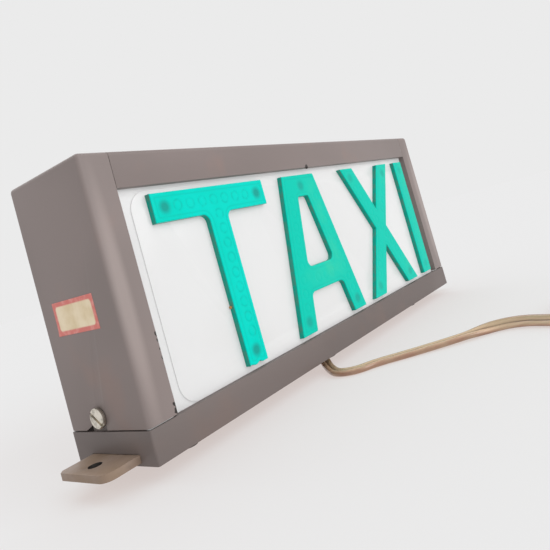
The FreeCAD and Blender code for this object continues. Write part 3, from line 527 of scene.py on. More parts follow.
@dataclass(frozen=True)
class RubbedSteel(Finish):
    """Thick steel strip under thin brown paint, dirty in patches and rubbed along its edges.

    Attributes:
        shaded_bores: (x, y, radius) in millimetres of the upright holes, whose walls carry painted shade.
    """

    shaded_bores: tuple[tuple[float, float, float], ...] = ()

    def surface(self, tree: bpy.types.NodeTree, shader: bpy.types.Node) -> None:
        """Cloud the paint, darken its dirt, paint shade into its holes, and wear its edges.

        Args:
            tree: the material's tree.
            shader: its main shader.
        """
        cloud = self.band(tree, self.noise(tree, 14, 3), 0.34, 0.7)
        colour = self.blend(tree, cloud, linear(self.base), linear("86715F"))
        stain = self.band(tree, self.noise(tree, 6, 3), 0.60, 0.74, 0.0, 0.38)
        colour = self.blend(tree, stain, colour, linear("6B5E53"))
        worn = self.band(tree, self.edges(tree, 0.5), 0.15, 0.5, 0.0, 0.3)
        colour = self.blend(tree, worn, colour, linear("A39686"))
        # Painted shade: each hole's wall, and a ring 0.1 mm wide round it, turns near black (1D1714), for the
        # shade inside the hole.
        for x, y, radius in self.shaded_bores:
            level = {0: self.place(tree), 1: (1, 1, 0)}
            flat = add_node(tree, "VectorMath", level, operation="MULTIPLY").outputs[0]
            ends = {0: flat, 1: (x * MM, y * MM, 0)}
            away = add_node(tree, "VectorMath", ends, operation="DISTANCE").outputs["Value"]
            bore_shade = self.band(tree, away, radius * MM, (radius + 0.1) * MM, 1.0, 0.0)
            colour = self.blend(tree, bore_shade, colour, linear("1D1714"))
        rough = self.band(tree, cloud, 0, 1, 0.45, 0.6)
        grain = self.bump(tree, self.noise(tree, 1.6, 3), 0.03)
        feed(tree, shader, {"Base Color": colour, "Roughness": rough, "Normal": grain})


@dataclass(frozen=True)
class PlatedMetal(Finish):
    """Turned or pressed metal with its plating: fine scratches and dull patches.

    Attributes:
        dull: colour of the dull patches.
        scratch_mm: spacing of the scratches.
    """

    dull: str = "8D887E"
    scratch_mm: float = 0.5

    def surface(self, tree: bpy.types.NodeTree, shader: bpy.types.Node) -> None:
        """Dull the plating in patches and scratch it.

        Args:
            tree: the material's tree.
            shader: its main shader.
        """
        patch = self.band(tree, self.noise(tree, 2.6, 4), 0.4, 0.72, 0.0, 0.75)
        colour = self.blend(tree, patch, linear(self.base), linear(self.dull))
        rough = self.band(tree, patch, 0, 0.75, self.roughness, self.roughness + 0.2)
        scratch = self.bump(tree, self.noise(tree, self.scratch_mm, 2, (1.0, 0.25, 2.2)), 0.02)
        looks = {"Base Color": colour, "Metallic": 1.0, "Roughness": rough, "Normal": scratch}
        feed(tree, shader, looks)


@dataclass(frozen=True)
class MouldedRubber(Finish):
    """Black moulded rubber: matt, with a dusty bloom."""

    def surface(self, tree: bpy.types.NodeTree, shader: bpy.types.Node) -> None:
        """Add the bloom and the fine matt grain.

        Args:
            tree: the material's tree.
            shader: its main shader.
        """
        bloom = self.band(tree, self.noise(tree, 3, 4), 0.42, 0.75, 0.0, 0.45)
        colour = self.blend(tree, bloom, linear(self.base), linear("55504C"))
        grain = self.bump(tree, self.noise(tree, 0.5, 2), 0.03)
        feed(tree, shader, {"Base Color": colour, "Normal": grain, "Specular IOR Level": 0.3})


@dataclass(frozen=True)
class OpalAcrylic(Finish):
    """Moulded opal acrylic: milk white all through, smooth and glossy, with a little dust.

    Attributes:
        specks: (x, y, z, radius) in millimetres of dark specks on the surface.
        glow: colour of a constant glow, painted light which evens out the panel's shading, though the panel
            is no lamp.
    """

    specks: tuple[tuple[float, float, float, float], ...] = ()
    glow: str = "8B8B8B"

    def surface(self, tree: bpy.types.NodeTree, shader: bpy.types.Node) -> None:
        """Let light spread under the skin, add a constant glow as painted light, and dust the surface very
        lightly.

        Args:
            tree: the material's tree.
            shader: its main shader.
        """
        dust = self.band(tree, self.noise(tree, 21, 5), 0.5, 0.8, 0.0, 0.08)
        colour = self.blend(tree, dust, linear(self.base), linear("AEABA5"))
        for speck in self.specks:
            colour = self.blend(tree, self.fleck(tree, speck), colour, linear("3A3330"))
        rough = self.band(tree, dust, 0, 0.08, self.roughness, self.roughness + 0.12)
        looks = {
            "Base Color": colour,
            "Roughness": rough,
            "Normal": self.bump(tree, self.noise(tree, 30, 2), 0.04),
            "IOR": 1.49,
            # Painted light: a constant glow that fills in the panel's shading and the letters' shadows on it.
            "Emission Color": linear(self.glow),
            "Emission Strength": 1.0,
            "Subsurface Weight": 0.25,
            "Subsurface Radius": (0.003, 0.003, 0.003),
            "Subsurface Scale": 1.0,
        }
        feed(tree, shader, looks)


@dataclass(frozen=True)
class TintedAcrylic(Finish):
    """Cast green acrylic letters: clear colour in depth, ring marks behind, grimy sawn sides, a rubbed haze.

    The letter's mesh carries ring, inset, spot, wall and haze as shares of 0 to 1.
    """

    def surface(self, tree: bpy.types.NodeTree, shader: bpy.types.Node) -> None:
        """Tint the rings, the scribed line, screw spots, haze and sides.

        Args:
            tree: the material's tree.
            shader: its main shader.
        """
        share = {
            name: add_node(tree, "Attribute", attribute_name=name).outputs["Fac"]
            for name in ("ring", "spot", "wall", "haze", "inset")
        }
        depth = self.band(tree, self.noise(tree, 26, 2), 0.3, 0.7, 0.0, 0.5)
        colour = self.blend(tree, depth, linear(self.base), linear("03C3AF"))
        uneven = self.band(tree, self.noise(tree, 2.4, 2), 0.35, 0.65, 0.25, 1.3)
        ring = add_node(tree, "Math", {0: share["ring"], 1: uneven}, operation="MULTIPLY").outputs[0]
        colour = self.blend(tree, ring, colour, linear("0A9E8E"))
        line = self.band(tree, share["inset"], 0, 1, 0.0, 0.35)
        colour = self.blend(tree, line, colour, linear("0BAE9C"))
        milky = self.band(tree, self.noise(tree, 6, 4), 0.25, 0.7, 0.25, 0.95)
        haze = add_node(tree, "Math", {0: share["haze"], 1: milky}, operation="MULTIPLY").outputs[0]
        colour = self.blend(tree, haze, colour, linear("30C4A6"))
        colour = self.blend(tree, share["spot"], colour, linear("1F8F84"))
        grimy = self.band(tree, self.noise(tree, 5, 3), 0.38, 0.7, 0.0, 0.6)
        side = self.blend(tree, grimy, linear("149E8C"), linear("5E7F70"))
        rim = self.band(tree, share["wall"], 0.35, 0.6)
        looks = {
            "Base Color": self.blend(tree, rim, colour, side),
            "Roughness": self.band(tree, haze, 0, 0.8, self.roughness, self.roughness + 0.1),
            "IOR": 1.49,
            "Specular IOR Level": 0.07,
            "Subsurface Weight": 0.15,
            "Subsurface Radius": (0.0004, 0.002, 0.0018),
            "Subsurface Scale": 1.0,
        }
        feed(tree, shader, looks)


@dataclass(frozen=True)
class GummedPaper(Finish):
    """A gummed paper label: cream stock gone brown, a printed red border with rounded inner corners.

    The sheet's mesh carries border as a share of 0 to 1.

    Attributes:
        border: colour of the printed border.
    """

    border: str = "D27C75"

    def surface(self, tree: bpy.types.NodeTree, shader: bpy.types.Node) -> None:
        """Age the stock, print the border unevenly and show the fibres.

        Args:
            tree: the material's tree.
            shader: its main shader.
        """
        share = add_node(tree, "Attribute", attribute_name="border").outputs["Fac"]
        age = self.band(tree, self.noise(tree, 8, 3), 0.35, 0.75)
        stock = self.blend(tree, age, linear(self.base), linear("D8C4A0"))
        faded = self.band(tree, self.noise(tree, 3.0, 3), 0.4, 0.75)
        ink = self.blend(tree, faded, linear(self.border), linear("DE9A92"))
        colour = self.blend(tree, share, stock, ink)
        fibres = self.bump(tree, self.noise(tree, 0.6, 3), 0.03)
        feed(tree, shader, {"Base Color": colour, "Normal": fibres, "Specular IOR Level": 0.25})


@dataclass(frozen=True)
class MouldedPlastic(Finish):
    """Moulded insulating plastic: slightly glossy, with flow marks."""

    def surface(self, tree: bpy.types.NodeTree, shader: bpy.types.Node) -> None:
        """Add flow marks and a fine grain.

        Args:
            tree: the material's tree.
            shader: its main shader.
        """
        flow = self.band(tree, self.noise(tree, 7, 4, (1, 1, 2)), 0.3, 0.7, 0.0, 0.5)
        colour = self.blend(tree, flow, linear(self.base), linear("6B5A4B"))
        grain = self.bump(tree, self.noise(tree, 0.8, 2), 0.02)
        feed(tree, shader, {"Base Color": colour, "Normal": grain, "IOR": 1.5})


@dataclass(frozen=True)
class LampGlass(Finish):
    """Blown soda glass of a small lamp: clear, with a faint smoky tint in patches."""

    def surface(self, tree: bpy.types.NodeTree, shader: bpy.types.Node) -> None:
        """Make it clear and smoke it faintly.

        Args:
            tree: the material's tree.
            shader: its main shader.
        """
        smoke = self.band(tree, self.noise(tree, 9, 2), 0.4, 0.7, 0.0, 0.3)
        colour = self.blend(tree, smoke, linear(self.base), linear("D8D6CE"))
        feed(tree, shader, {"Base Color": colour, "Transmission Weight": 1.0, "IOR": 1.46})


@dataclass(frozen=True)
class ClearFlex(Finish):
    """Extruded clear sheath over stranded copper: tan strands, one core pinker and one greener, wet gloss.

    Attributes:
        repeat_mm: length along the lead after which the strands' pattern repeats.
        strands: strands that show round the pair of cores.
    """

    repeat_mm: float = 12.0
    strands: float = 7.0

    def surface(self, tree: bpy.types.NodeTree, shader: bpy.types.Node) -> None:
        """Twist the strands under the clear sheath, paint a highlight along each core, and paint shade on the
        cores' outer flanks and in the groove between them.

        Args:
            tree: the material's tree.
            shader: its main shader.
        """
        chart = add_node(tree, "SeparateXYZ", {0: add_node(tree, "UVMap", uv_map="lead").outputs[0]})
        along, around = chart.outputs[0], chart.outputs[1]
        turn = add_node(tree, "Math", {0: around, 1: 2 * math.pi}, operation="MULTIPLY").outputs[0]
        cosine = add_node(tree, "Math", {0: turn}, operation="COSINE").outputs[0]
        core = self.band(tree, cosine, -0.35, 0.35)
        tint = self.blend(tree, core, linear("BD977B"), linear("AB916F"))
        crest = add_node(tree, "Math", {0: cosine}, operation="ABSOLUTE").outputs[0]
        pace = {0: along, 1: 2 * math.pi / self.repeat_mm}
        climb = add_node(tree, "Math", pace, operation="MULTIPLY").outputs[0]
        whole = {0: turn, 1: self.strands, 2: climb}
        phase = add_node(tree, "Math", whole, operation="MULTIPLY_ADD").outputs[0]
        wave = add_node(tree, "Math", {0: phase}, operation="SINE").outputs[0]
        tint = self.blend(tree, self.band(tree, wave, -1, 1, 0.0, 0.30), tint, linear("875F44"))
        # Painted highlight: a pale band (D9BD9C) along each core, on both faces of the lead.
        rise = self.band(tree, crest, 0.18, 0.45, 0.0, 0.6)
        fall = self.band(tree, crest, 0.62, 0.88, 1.0, 0.0)
        crest_highlight = add_node(tree, "Math", {0: rise, 1: fall}, operation="MULTIPLY").outputs[0]
        tint = self.blend(tree, crest_highlight, tint, linear("D9BD9C"))
        # Painted shade: the outer flank of each core darkens towards 875B46.
        side = self.band(tree, crest, 0.84, 1.0, 0.0, 0.75)
        tint = self.blend(tree, side, tint, linear("875B46"))
        # Painted shade: the groove between the cores, over the web, darkens towards 6A5240.
        groove_shade = self.band(tree, crest, 0.04, 0.26, 0.75, 0.0)
        tint = self.blend(tree, groove_shade, tint, linear("6A5240"))
        age = self.band(tree, self.noise(tree, 14, 3), 0.42, 0.68, 0.0, 0.35)
        tint = self.blend(tree, age, tint, linear("B5A382"))
        feed(tree, shader, {"Base Color": tint, "Coat Weight": 0.8, "Coat Roughness": 0.12, "Coat IOR": 1.53})


@dataclass(frozen=True)
class SleevedWire(Finish):
    """Drawn clear sleeve over copper strands, for the short wires inside the tray."""

    def surface(self, tree: bpy.types.NodeTree, shader: bpy.types.Node) -> None:
        """Let the strands show unevenly through the sleeve.

        Args:
            tree: the material's tree.
            shader: its main shader.
        """
        strand = self.band(tree, self.noise(tree, 1.3, 3), 0.35, 0.65, 0.0, 0.6)
        colour = self.blend(tree, strand, linear(self.base), linear("80583D"))
        feed(tree, shader, {"Base Color": colour, "Coat Weight": 0.8, "Coat Roughness": 0.12})


@dataclass(frozen=True)
class BackdropPaper(Finish):
    """Plain pale studio paper with no pattern that shows.

    Attributes:
        glow: colour of a constant glow, which keeps the paper nearly white in the soft shade too.
    """

    glow: str = "CABEBA"

    def surface(self, tree: bpy.types.NodeTree, shader: bpy.types.Node) -> None:
        """Keep it matt and let it glow."""
        glow = {"Emission Color": linear(self.glow), "Emission Strength": 1.0}
        feed(tree, shader, {"Specular IOR Level": 0.0, **glow})


CASING_CHIPS = (
    (-135.5, -26.4, 53.0, 1.3),
    (-135.6, -26.4, 50.5, 0.8),
    (-135.5, -26.4, 47.0, 0.6),
    (-135.4, -26.4, 43.6, 0.9),
    (-135.5, -26.4, 39.5, 0.5),
    (-135.3, -26.2, 22.6, 1.8),
    (-136.0, -26.4, 25.0, 0.9),
    (-0.2, -26.3, 111.9, 1.8),
)
PANEL_SPECKS = ((-45.7, -22.7, 21.1, 0.6),)
# Painted highlight: a pale band near the outer fold of each stile, for the satin paint's sheen there; the
# right one mirrors the left.
STILE_SHEEN = tuple((x, -26.5, 68.0, 5.0, 64.0) for x in (-145.5, 145.5))
CASING = StovedPaint(
    "satin stoved paint on sheet steel", "casing_paint", "867A77", 0.46, chips=CASING_CHIPS, sheen_patches=STILE_SHEEN
)
# The same paint as CASING with a darker base and no highlight patches, for the top cover.
COVER = StovedPaint(
    "satin stoved paint on sheet steel, less faded", "casing_paint", "807471", 0.46, chips=CASING_CHIPS
)
# Painted shade: a darker copy of the casing paint for the tray and the hood brackets, for the shade low on
# the sign and under the ears.
SHADED_TRAY = StovedPaint("stoved paint on sheet steel, darkened as painted shade", "casing_paint", "6E6461", 0.5, "615956", "79655D")
FLAKE = StovedPaint("curled flake of old stoved paint", "casing_paint", "352D2A", 0.6, "2B2422", "3A302C")
# Holes in the ears whose walls carry painted shade.
EAR_SHADED_BORES = tuple((x, 0.0, 2.77) for x in (-158.8, 158.8))
EAR = RubbedSteel("thin paint on rolled steel strip", "ear_steel", "8D796B", 0.5, EAR_SHADED_BORES)
ALUMINIUM = PlatedMetal("dull aluminium rivets", "bare_aluminium", "B5B3AE", 0.42, "8E8C88")
RUBBER = MouldedRubber("moulded black rubber", "rubber", "262423", 0.8)
NICKEL = PlatedMetal("dull nickel plate on turned steel", "plated_steel", "E0D9CD", 0.28)
ZINC = PlatedMetal("zinc plated pressed steel", "plated_steel", "BDBCB6", 0.34, "8F8F8B", 0.8)
OPAL = OpalAcrylic("moulded opal acrylic", "opal_acrylic", "B8B8B8", 0.16, PANEL_SPECKS)
GREEN = TintedAcrylic("cast turquoise acrylic", "green_acrylic", "04C1AB", 0.38)
# A brighter and glossier copy of the same acrylic, for the first letter.
BRIGHT_GREEN = TintedAcrylic("cast turquoise acrylic, brighter and glossier copy", "green_acrylic", "02CFC0", 0.16)
PAPER = GummedPaper("gummed paper label", "label_paper", "E8D8BC", 0.85)
BRASS = PlatedMetal("stamped brass", "brass", "D9B36A", 0.3, "96793F", 0.6)
PHENOLIC = MouldedPlastic("moulded brown phenolic plastic", "insulator_plastic", "4A3A30", 0.38)
GLASS = LampGlass("blown soda glass", "bulb_glass", "F7F7F4", 0.02)
FLEX = ClearFlex("clear extruded vinyl over stranded copper", "lead_pvc", "BC9C7C", 0.34)
RESIN = MouldedPlastic("old amber resin", "label_paper", "C08A3C", 0.3)
WIRE = SleevedWire("clear sleeved copper wire", "lead_pvc", "B58F70", 0.3)
PAPER_FLOOR = BackdropPaper("matt studio paper", "", "7B8B90", 0.9)


# ---------------------------------------------------------------------- stage


@dataclass
class Studio:
    """Camera, floor and soft light.

    Attributes:
        eye: camera position, metres.
        right: the picture's right in the frame.
        up: the picture's up in the frame.
        lens_mm: focal length on a 36 mm sensor.
        shift: vertical shift of the framing.
        floor_half: half the floor's side, metres.
        sky: colour of the room's even light.
    """

    eye: tuple[float, float, float] = (-0.2736, -0.20345, 0.07442)
    right: tuple[float, float, float] = (0.59465, -0.75690, -0.27108)
    up: tuple[float, float, float] = (0.13845, -0.23573, 0.96191)
    lens_mm: float = 36.50
    shift: float = -0.0961
    floor_half: float = 9.0
    sky: str = "EBEBEB"

    def camera(self) -> bpy.types.Object:
        """Set up the scene's camera, whose third axis is worked out from the other two.

        Returns:
            The camera.
        """
        data = bpy.data.cameras.new("camera")
        data.sensor_width, data.lens, data.shift_y = 36.0, self.lens_mm, self.shift
        data.clip_start, data.clip_end = 0.01, 60.0
        eye = bpy.data.objects.new("camera", data)
        right = Vector(self.right).normalized()
        back = right.cross(Vector(self.up)).normalized()
        above = back.cross(right)
        turn = Matrix((right, above, back)).transposed().to_4x4()
        eye.matrix_world = Matrix.Translation(self.eye) @ turn
        bpy.context.scene.collection.objects.link(eye)
        bpy.context.scene.camera = eye
        return eye

    def floor(self) -> bpy.types.Object:
        """Lay the pale floor, which is no part of the object.

        Returns:
            The floor.
        """
        half = self.floor_half
        corners = np.array([(-half, -half, 0), (half, -half, 0), (half, half, 0), (-half, half, 0)])
        sheet = new_mesh("floor", corners, [(0, 1, 2, 3)], smooth=False)
        sheet.data.materials.append(PAPER_FLOOR.material())
        return sheet

    def light(self) -> None:
        """Light the room evenly, with a broad soft lamp in front and another from behind and above."""
        world = bpy.data.worlds.new("room")
        world.use_nodes = True
        sky = world.node_tree.nodes["Background"]
        sky.inputs["Color"].default_value = linear(self.sky)
        sky.inputs["Strength"].default_value = 1.0
        bpy.context.scene.world = world
        for name, strength, spread, towards in (
            ("window", 0.75, 50.0, (-0.25, -0.62, -1.0)),
            ("key", 1.5, 60.0, (-0.15, 0.8, -0.4)),
        ):
            data = bpy.data.lights.new(name, "SUN")
            data.energy, data.angle = strength, math.radians(spread)
            lamp = bpy.data.objects.new(name, data)
            lamp.rotation_mode = "QUATERNION"
            lamp.rotation_quaternion = Vector(towards).to_track_quat("-Z", "Y")
            bpy.context.scene.collection.objects.link(lamp)

    def build(self) -> None:
        """Set up camera, light and floor."""
        bpy.context.scene.view_settings.view_transform = "Standard"
        self.camera()
        self.light()
        self.floor()


# ----------------------------------------------------------------------- lead


class Lie(Enum):
    """How the flat twin lead lies: its roll about its own line, in degrees."""

    FLAT = 8.0
    ON_EDGE = 72.0


@dataclass
class TwinLead:
    """The flat figure-eight lead: route, put-away coil, tail, and the pieces on it.

    Attributes:
        route_mm: control points from the tray's outlet to the coil.
        tail_mm: control points from the coil to the connector.
        coil_centre_mm: middle of the put-away coil.
        turns: turns of the coil, half of them in each layer.
        outer_mm: radius of the outermost turn.
        inner_mm: radius of the innermost turn.
        layers_mm: height of the coil's lower and upper layer.
        core_mm: half the distance from the lead's line to its broad side's tip.
        web_mm: half thickness of the web between the cores.
        points_per_turn: control points in each turn of the coil.
        ring_points: points round the section.
        twist_mm: where along the lead it rolls on edge.
        untwist_mm: where it rolls flat again.
    """

    route_mm: tuple[tuple[float, float, float], ...] = (
        (-23.0, -17.0, 6.0),
        (-24.0, -18.8, 4.0),
        (-27.2, -22.2, 2.2),
        (-33.6, -28.3, 2.0),
        (-41.0, -37.0, 2.0),
        (-38.8, -47.0, 2.0),
        (-28.8, -53.4, 2.0),
        (-17.5, -68.5, 2.0),
        (-1.0, -89.0, 2.5),
        (11.5, -102.5, 3.3),
        (14.8, -115.5, 3.3),
        (8.8, -129.5, 3.3),
        (3.4, -143.5, 3.2),
        (2.4, -157.0, 2.7),
    )
    tail_mm: tuple[tuple[float, float, float], ...] = (
        (2.4, -180.0, 3.0),
        (2.4, -190.0, 3.2),
        (2.6, -199.0, 4.0),
    )
    coil_centre_mm: tuple[float, float] = (40.2, -166.0)
    turns: int = 6
    outer_mm: float = 37.8
    inner_mm: float = 26.2
    layers_mm: tuple[float, float] = (2.1, 5.5)
    core_mm: float = 1.38
    web_mm: float = 0.9
    points_per_turn: int = 14
    ring_points: int = 28
    twist_mm: tuple[float, float] = (94.0, 114.0)
    untwist_mm: tuple[float, float] = (150.0, 170.0)

    def coil_points(self) -> np.ndarray:
        """Give the coil's control points.

        The angle grows evenly from the side where the lead comes in. The radius shrinks evenly over the
        first layer and grows evenly over the second, with a small waver, and the height steps up half way.

        Returns:
            One row for each point, millimetres.
        """
        count = self.turns * self.points_per_turn
        part = np.linspace(0, 1, count + 1)
        angle = math.pi + 2 * math.pi * self.turns * part
        fold = 1 - np.abs(1 - 2 * part)
        waver = 0.45 * np.sin(angle * 0.37 + 1.0) * np.sin(math.pi * part)
        radius = self.outer_mm + (self.inner_mm - self.outer_mm) * fold + waver
        low, high = self.layers_mm
        step = np.clip((part - 0.47) / 0.06, 0, 1)
        height = low + (high - low) * step * step * (3 - 2 * step)
        x, y = self.coil_centre_mm
        return np.stack([x + radius * np.cos(angle), y + radius * np.sin(angle), height], -1)

    def line(self) -> np.ndarray:
        """Read the smooth line of the whole lead from its spline.

        Returns:
            One row for each point, metres.
        """
        points = np.vstack([self.route_mm, self.coil_points(), self.tail_mm]) * MM
        data = bpy.data.curves.new("lead_line", "CURVE")
        data.dimensions, data.resolution_u = "3D", 8
        spline = data.splines.new("NURBS")
        spline.points.add(len(points) - 1)
        spline.points.foreach_set("co", np.hstack([points, np.ones((len(points), 1))]).ravel())
        spline.order_u = 3
        spline.use_endpoint_u = True
        holder = bpy.data.objects.new("lead_line", data)
        mesh = bpy.data.meshes.new_from_object(holder)
        line = np.empty(len(mesh.vertices) * 3)
        mesh.vertices.foreach_get("co", line)
        bpy.data.objects.remove(holder)
        bpy.data.meshes.remove(mesh)
        return line.reshape(-1, 3)

    def roll(self, along: np.ndarray) -> np.ndarray:
        """Give the lead's roll about its line: flat, on edge past the twist, flat again in the coil.

        Args:
            along: distances along the lead, metres.

        Returns:
            The roll at each, radians.
        """
        shares = []
        for start, end in (self.twist_mm, self.untwist_mm):
            part = np.clip((along / MM - start) / (end - start), 0, 1)
            shares.append(part * part * (3 - 2 * part))
        over, back = shares
        return np.radians(Lie.FLAT.value + (Lie.ON_EDGE.value - Lie.FLAT.value) * over * (1 - back))

    def sheath(self, line: np.ndarray) -> bpy.types.Object:
        """Carry the figure-eight section along the line.

        The section's radius at an angle is the root of (2 * core * cos(angle)) squared plus web squared.

        Args:
            line: the lead's own line, metres.

        Returns:
            The closed piece, with its distance along and its share around in the UV map "lead".
        """
        step = np.gradient(line, axis=0)
        ahead = step / np.linalg.norm(step, axis=1, keepdims=True)
        side = np.cross((0.0, 0.0, 1.0), ahead)
        side /= np.linalg.norm(side, axis=1, keepdims=True)
        above = np.cross(ahead, side)
        along = np.concatenate([[0], np.cumsum(np.linalg.norm(np.diff(line, axis=0), axis=1))])
        roll = self.roll(along)[:, None]
        wide = side * np.cos(roll) + above * np.sin(roll)
        thin = above * np.cos(roll) - side * np.sin(roll)
        angle = np.linspace(0, 2 * math.pi, self.ring_points, endpoint=False)
        reach = np.sqrt((2 * self.core_mm * np.cos(angle)) ** 2 + self.web_mm**2) * MM
        ring = (reach * np.cos(angle))[None, :, None] * wide[:, None, :]
        ring = ring + (reach * np.sin(angle))[None, :, None] * thin[:, None, :]
        points = (line[:, None, :] + ring).reshape(-1, 3)
        rows, columns = len(line), self.ring_points
        faces = grid_faces(rows, columns, wrap_columns=True)
        caps = [list(range(columns))[::-1], list(range((rows - 1) * columns, rows * columns))]
        body = new_mesh("twin_lead", points, [*faces.tolist(), *caps])
        chart = body.data.uv_layers.new(name="lead")
        row, column = np.divmod(faces, columns)
        column = np.where(column < column[:, :1], column + columns, column)
        values = np.stack([along[row] / MM, column / columns], -1).reshape(-1, 2)
        values = np.vstack([values, np.zeros((2 * columns, 2))])
        chart.data.foreach_set("uv", values.ravel())
        merge(body, 1e-8)
        return body

    def build(self) -> bpy.types.Object:
        """Returns:
            The lead.
        """
        line = self.line()
        lead = dress(self.sheath(line), FLEX)
        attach(lead, body_of("lead_tube"))
        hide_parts("lead_tube", "lead_coil", "lead_tail")
        connector = dress(softened("lead_connector", 1.2, 4), PHENOLIC)
        pieces = [connector, dress(softened("connector_pins", 0.5, 3), BRASS)]
        return lead


# -------------------------------------------------------------------- letters


@dataclass
class Haze:
    """A rubbed, whitish patch on a letter's face.

    Attributes:
        x: its middle along the sign, millimetres.
        z: its middle's height.
        wide: half width, where it has faded to about a third.
        tall: half height.
        strength: its share at the middle.
    """

    x: float
    z: float
    wide: float
    tall: float
    strength: float


@dataclass
class BlockLetter:
    """One cast letter: rounded front edges, a scribed line inside its outline, ring marks, screw spots.

    Attributes:
        node: the CAD node it stands for.
        loops: closed outlines as (x, z, corner radius), millimetres; the first is the outside.
        screws: screws behind the letter, (x, z).
        rings: centres of the ring marks, (x, z).
        hazes: rubbed patches.
        chips: broken bits of the foot as (x, width, depth).
        finish: its acrylic.
        ring_share: how plainly the ring marks show.
        spot_share: how plainly the screws show through.
        edge_mm: rounding of the front edges.
        scribe_mm: the scribed line's distance from the outline.
        ring_mm: radius of the ring marks.
    """

    node: str
    loops: Sequence[Sequence[tuple[float, float, float]]]
    screws: Sequence[tuple[float, float]]
    rings: Sequence[tuple[float, float]]
    hazes: Sequence[Haze] = ()
    chips: Sequence[tuple[float, float, float]] = ()
    finish: Finish = GREEN
    ring_share: float = 0.12
    spot_share: float = 0.6
    edge_mm: float = 0.5
    scribe_mm: float = 2.0
    ring_mm: float = 2.3

    @staticmethod
    def loop(corners: Sequence[tuple[float, float, float]], spacing: float = 0.8) -> np.ndarray:
        """Round an outline's corners and space points evenly along it.

        Each corner's arc touches both its edges; its middle lies on the corner's bisector.

        Args:
            corners: (x, z, corner radius) of each corner, millimetres.
            spacing: widest gap between two points.

        Returns:
            The closed outline's points, the first not repeated.
        """
        spots = np.array(corners, float)
        track = []
        for before, spot, after in zip(np.roll(spots, 1, 0), spots, np.roll(spots, -1, 0)):
            here, radius = spot[:2], spot[2]
            back, ahead = before[:2] - here, after[:2] - here
            back, ahead = back / np.linalg.norm(back), ahead / np.linalg.norm(ahead)
            half = math.acos(float(np.clip(back @ ahead, -1, 1))) / 2
            if radius <= 0 or half > 1.55:
                track.append(here[None])
                continue
            reach = radius / math.tan(half)
            share = np.linspace(0, 1, 9)[:, None]
            middle = here + (back + ahead) / np.linalg.norm(back + ahead) * radius / math.sin(half)
            chord = (here + back * reach) * (1 - share) + (here + ahead * reach) * share - middle
            track.append(middle + chord / np.linalg.norm(chord, axis=1, keepdims=True) * radius)
        path = np.vstack(track)
        closed = np.vstack([path, path[:1]])
        runs = np.linalg.norm(np.diff(closed, axis=0), axis=1)
        counts = np.maximum(1, np.ceil(runs / spacing).astype(int))
        start = np.repeat(np.arange(len(path)), counts)
        part = np.concatenate([np.arange(n) / n for n in counts])[:, None]
        return closed[start] * (1 - part) + closed[start + 1] * part

    @staticmethod
    def clearance(spots: np.ndarray, loops: Sequence[np.ndarray]) -> tuple[np.ndarray, np.ndarray]:
        """Give each spot's distance to the outlines, and whether it is inside.

        Distance is to the nearest segment; inside is an odd number of crossings of a ray to the right.

        Args:
            spots: one row (x, z) for each spot.
            loops: the closed outlines.

        Returns:
            The distances, and which spots are inside.
        """
        near = np.full(len(spots), np.inf)
        odd = np.zeros(len(spots), bool)
        for ring in loops:
            a, b = ring, np.roll(ring, -1, 0)
            run = b - a
            rel = spots[:, None, :] - a[None]
            share = np.clip((rel * run).sum(-1) / (run * run).sum(-1), 0, 1)
            near = np.minimum(near, np.linalg.norm(rel - share[..., None] * run, axis=-1).min(1))
            above = a[None, :, 1] > spots[:, None, 1]
            cross = above != (b[None, :, 1] > spots[:, None, 1])
            rise = np.where(run[:, 1] == 0, 1e-9, run[:, 1])
            at = a[:, 0] + (spots[:, None, 1] - a[:, 1]) * run[:, 0] / rise
            odd ^= (cross & (spots[:, None, 0] < at)).sum(1) % 2 == 1
        return near, odd

    def spots(self, loops: Sequence[np.ndarray]) -> np.ndarray:
        """Choose the face's points: rows that follow the outline, rings about each mark, a hexagon grid.

        Args:
            loops: the closed outlines.

        Returns:
            One row (x, z) for each point, none nearer than about 0.1 mm to another.
        """
        rows = []
        for ring in loops:
            run = np.roll(ring, -1, 0) - np.roll(ring, 1, 0)
            normal = np.stack([-run[:, 1], run[:, 0]], -1) / np.linalg.norm(run, axis=1, keepdims=True)
            for depth in (0.1, 0.25, 0.5, self.scribe_mm - 0.35, self.scribe_mm, self.scribe_mm + 0.35):
                for sense in (1, -1):
                    row = ring + sense * depth * normal
                    near, inside = self.clearance(row, loops)
                    rows.append(row[inside & (near > 0.9 * depth)])
        marks = np.array([*self.rings, *self.screws], float)
        angle = np.linspace(0, 2 * math.pi, 16, endpoint=False)
        for radius in (0.0, 0.8, 1.5, 1.9, 2.3, 2.7, 3.2):
            wheel = np.stack([np.cos(angle), np.sin(angle)], -1) * radius
            rows.append((marks[:, None] + wheel[None, : 1 if radius == 0 else 16]).reshape(-1, 2))
        low, high = loops[0].min(0), loops[0].max(0)
        x, z = np.meshgrid(np.arange(low[0], high[0], 1.3), np.arange(low[1], high[1], 1.1))
        x = x + 0.65 * (np.arange(len(z))[:, None] % 2)
        grid = np.stack([x.ravel(), z.ravel()], -1)
        far = np.linalg.norm(grid[:, None] - marks[None], axis=-1).min(1) > 3.6
        rows.append(grid[far])
        found = np.vstack(rows)
        near, inside = self.clearance(found, loops)
        found = found[inside & (near > 0.08)]
        keys = np.unique(np.round(found / 0.12).astype(int), axis=0, return_index=True)[1]
        return found[np.sort(keys)]

    def outlines(self) -> list[np.ndarray]:
        """Round the outlines and chip the foot.

        A chip lifts the foot's points by depth * exp(-(distance / width) squared).

        Returns:
            One closed row of points for each outline, the outside first.
        """
        loops = [self.loop(corners) for corners in self.loops]
        foot = loops[0][:, 1] < min(p[1] for p in self.loops[0]) + 0.05
        for x, width, depth in self.chips:
            loops[0][foot, 1] += depth * np.exp(-(((loops[0][foot, 0] - x) / width) ** 2))
        return loops

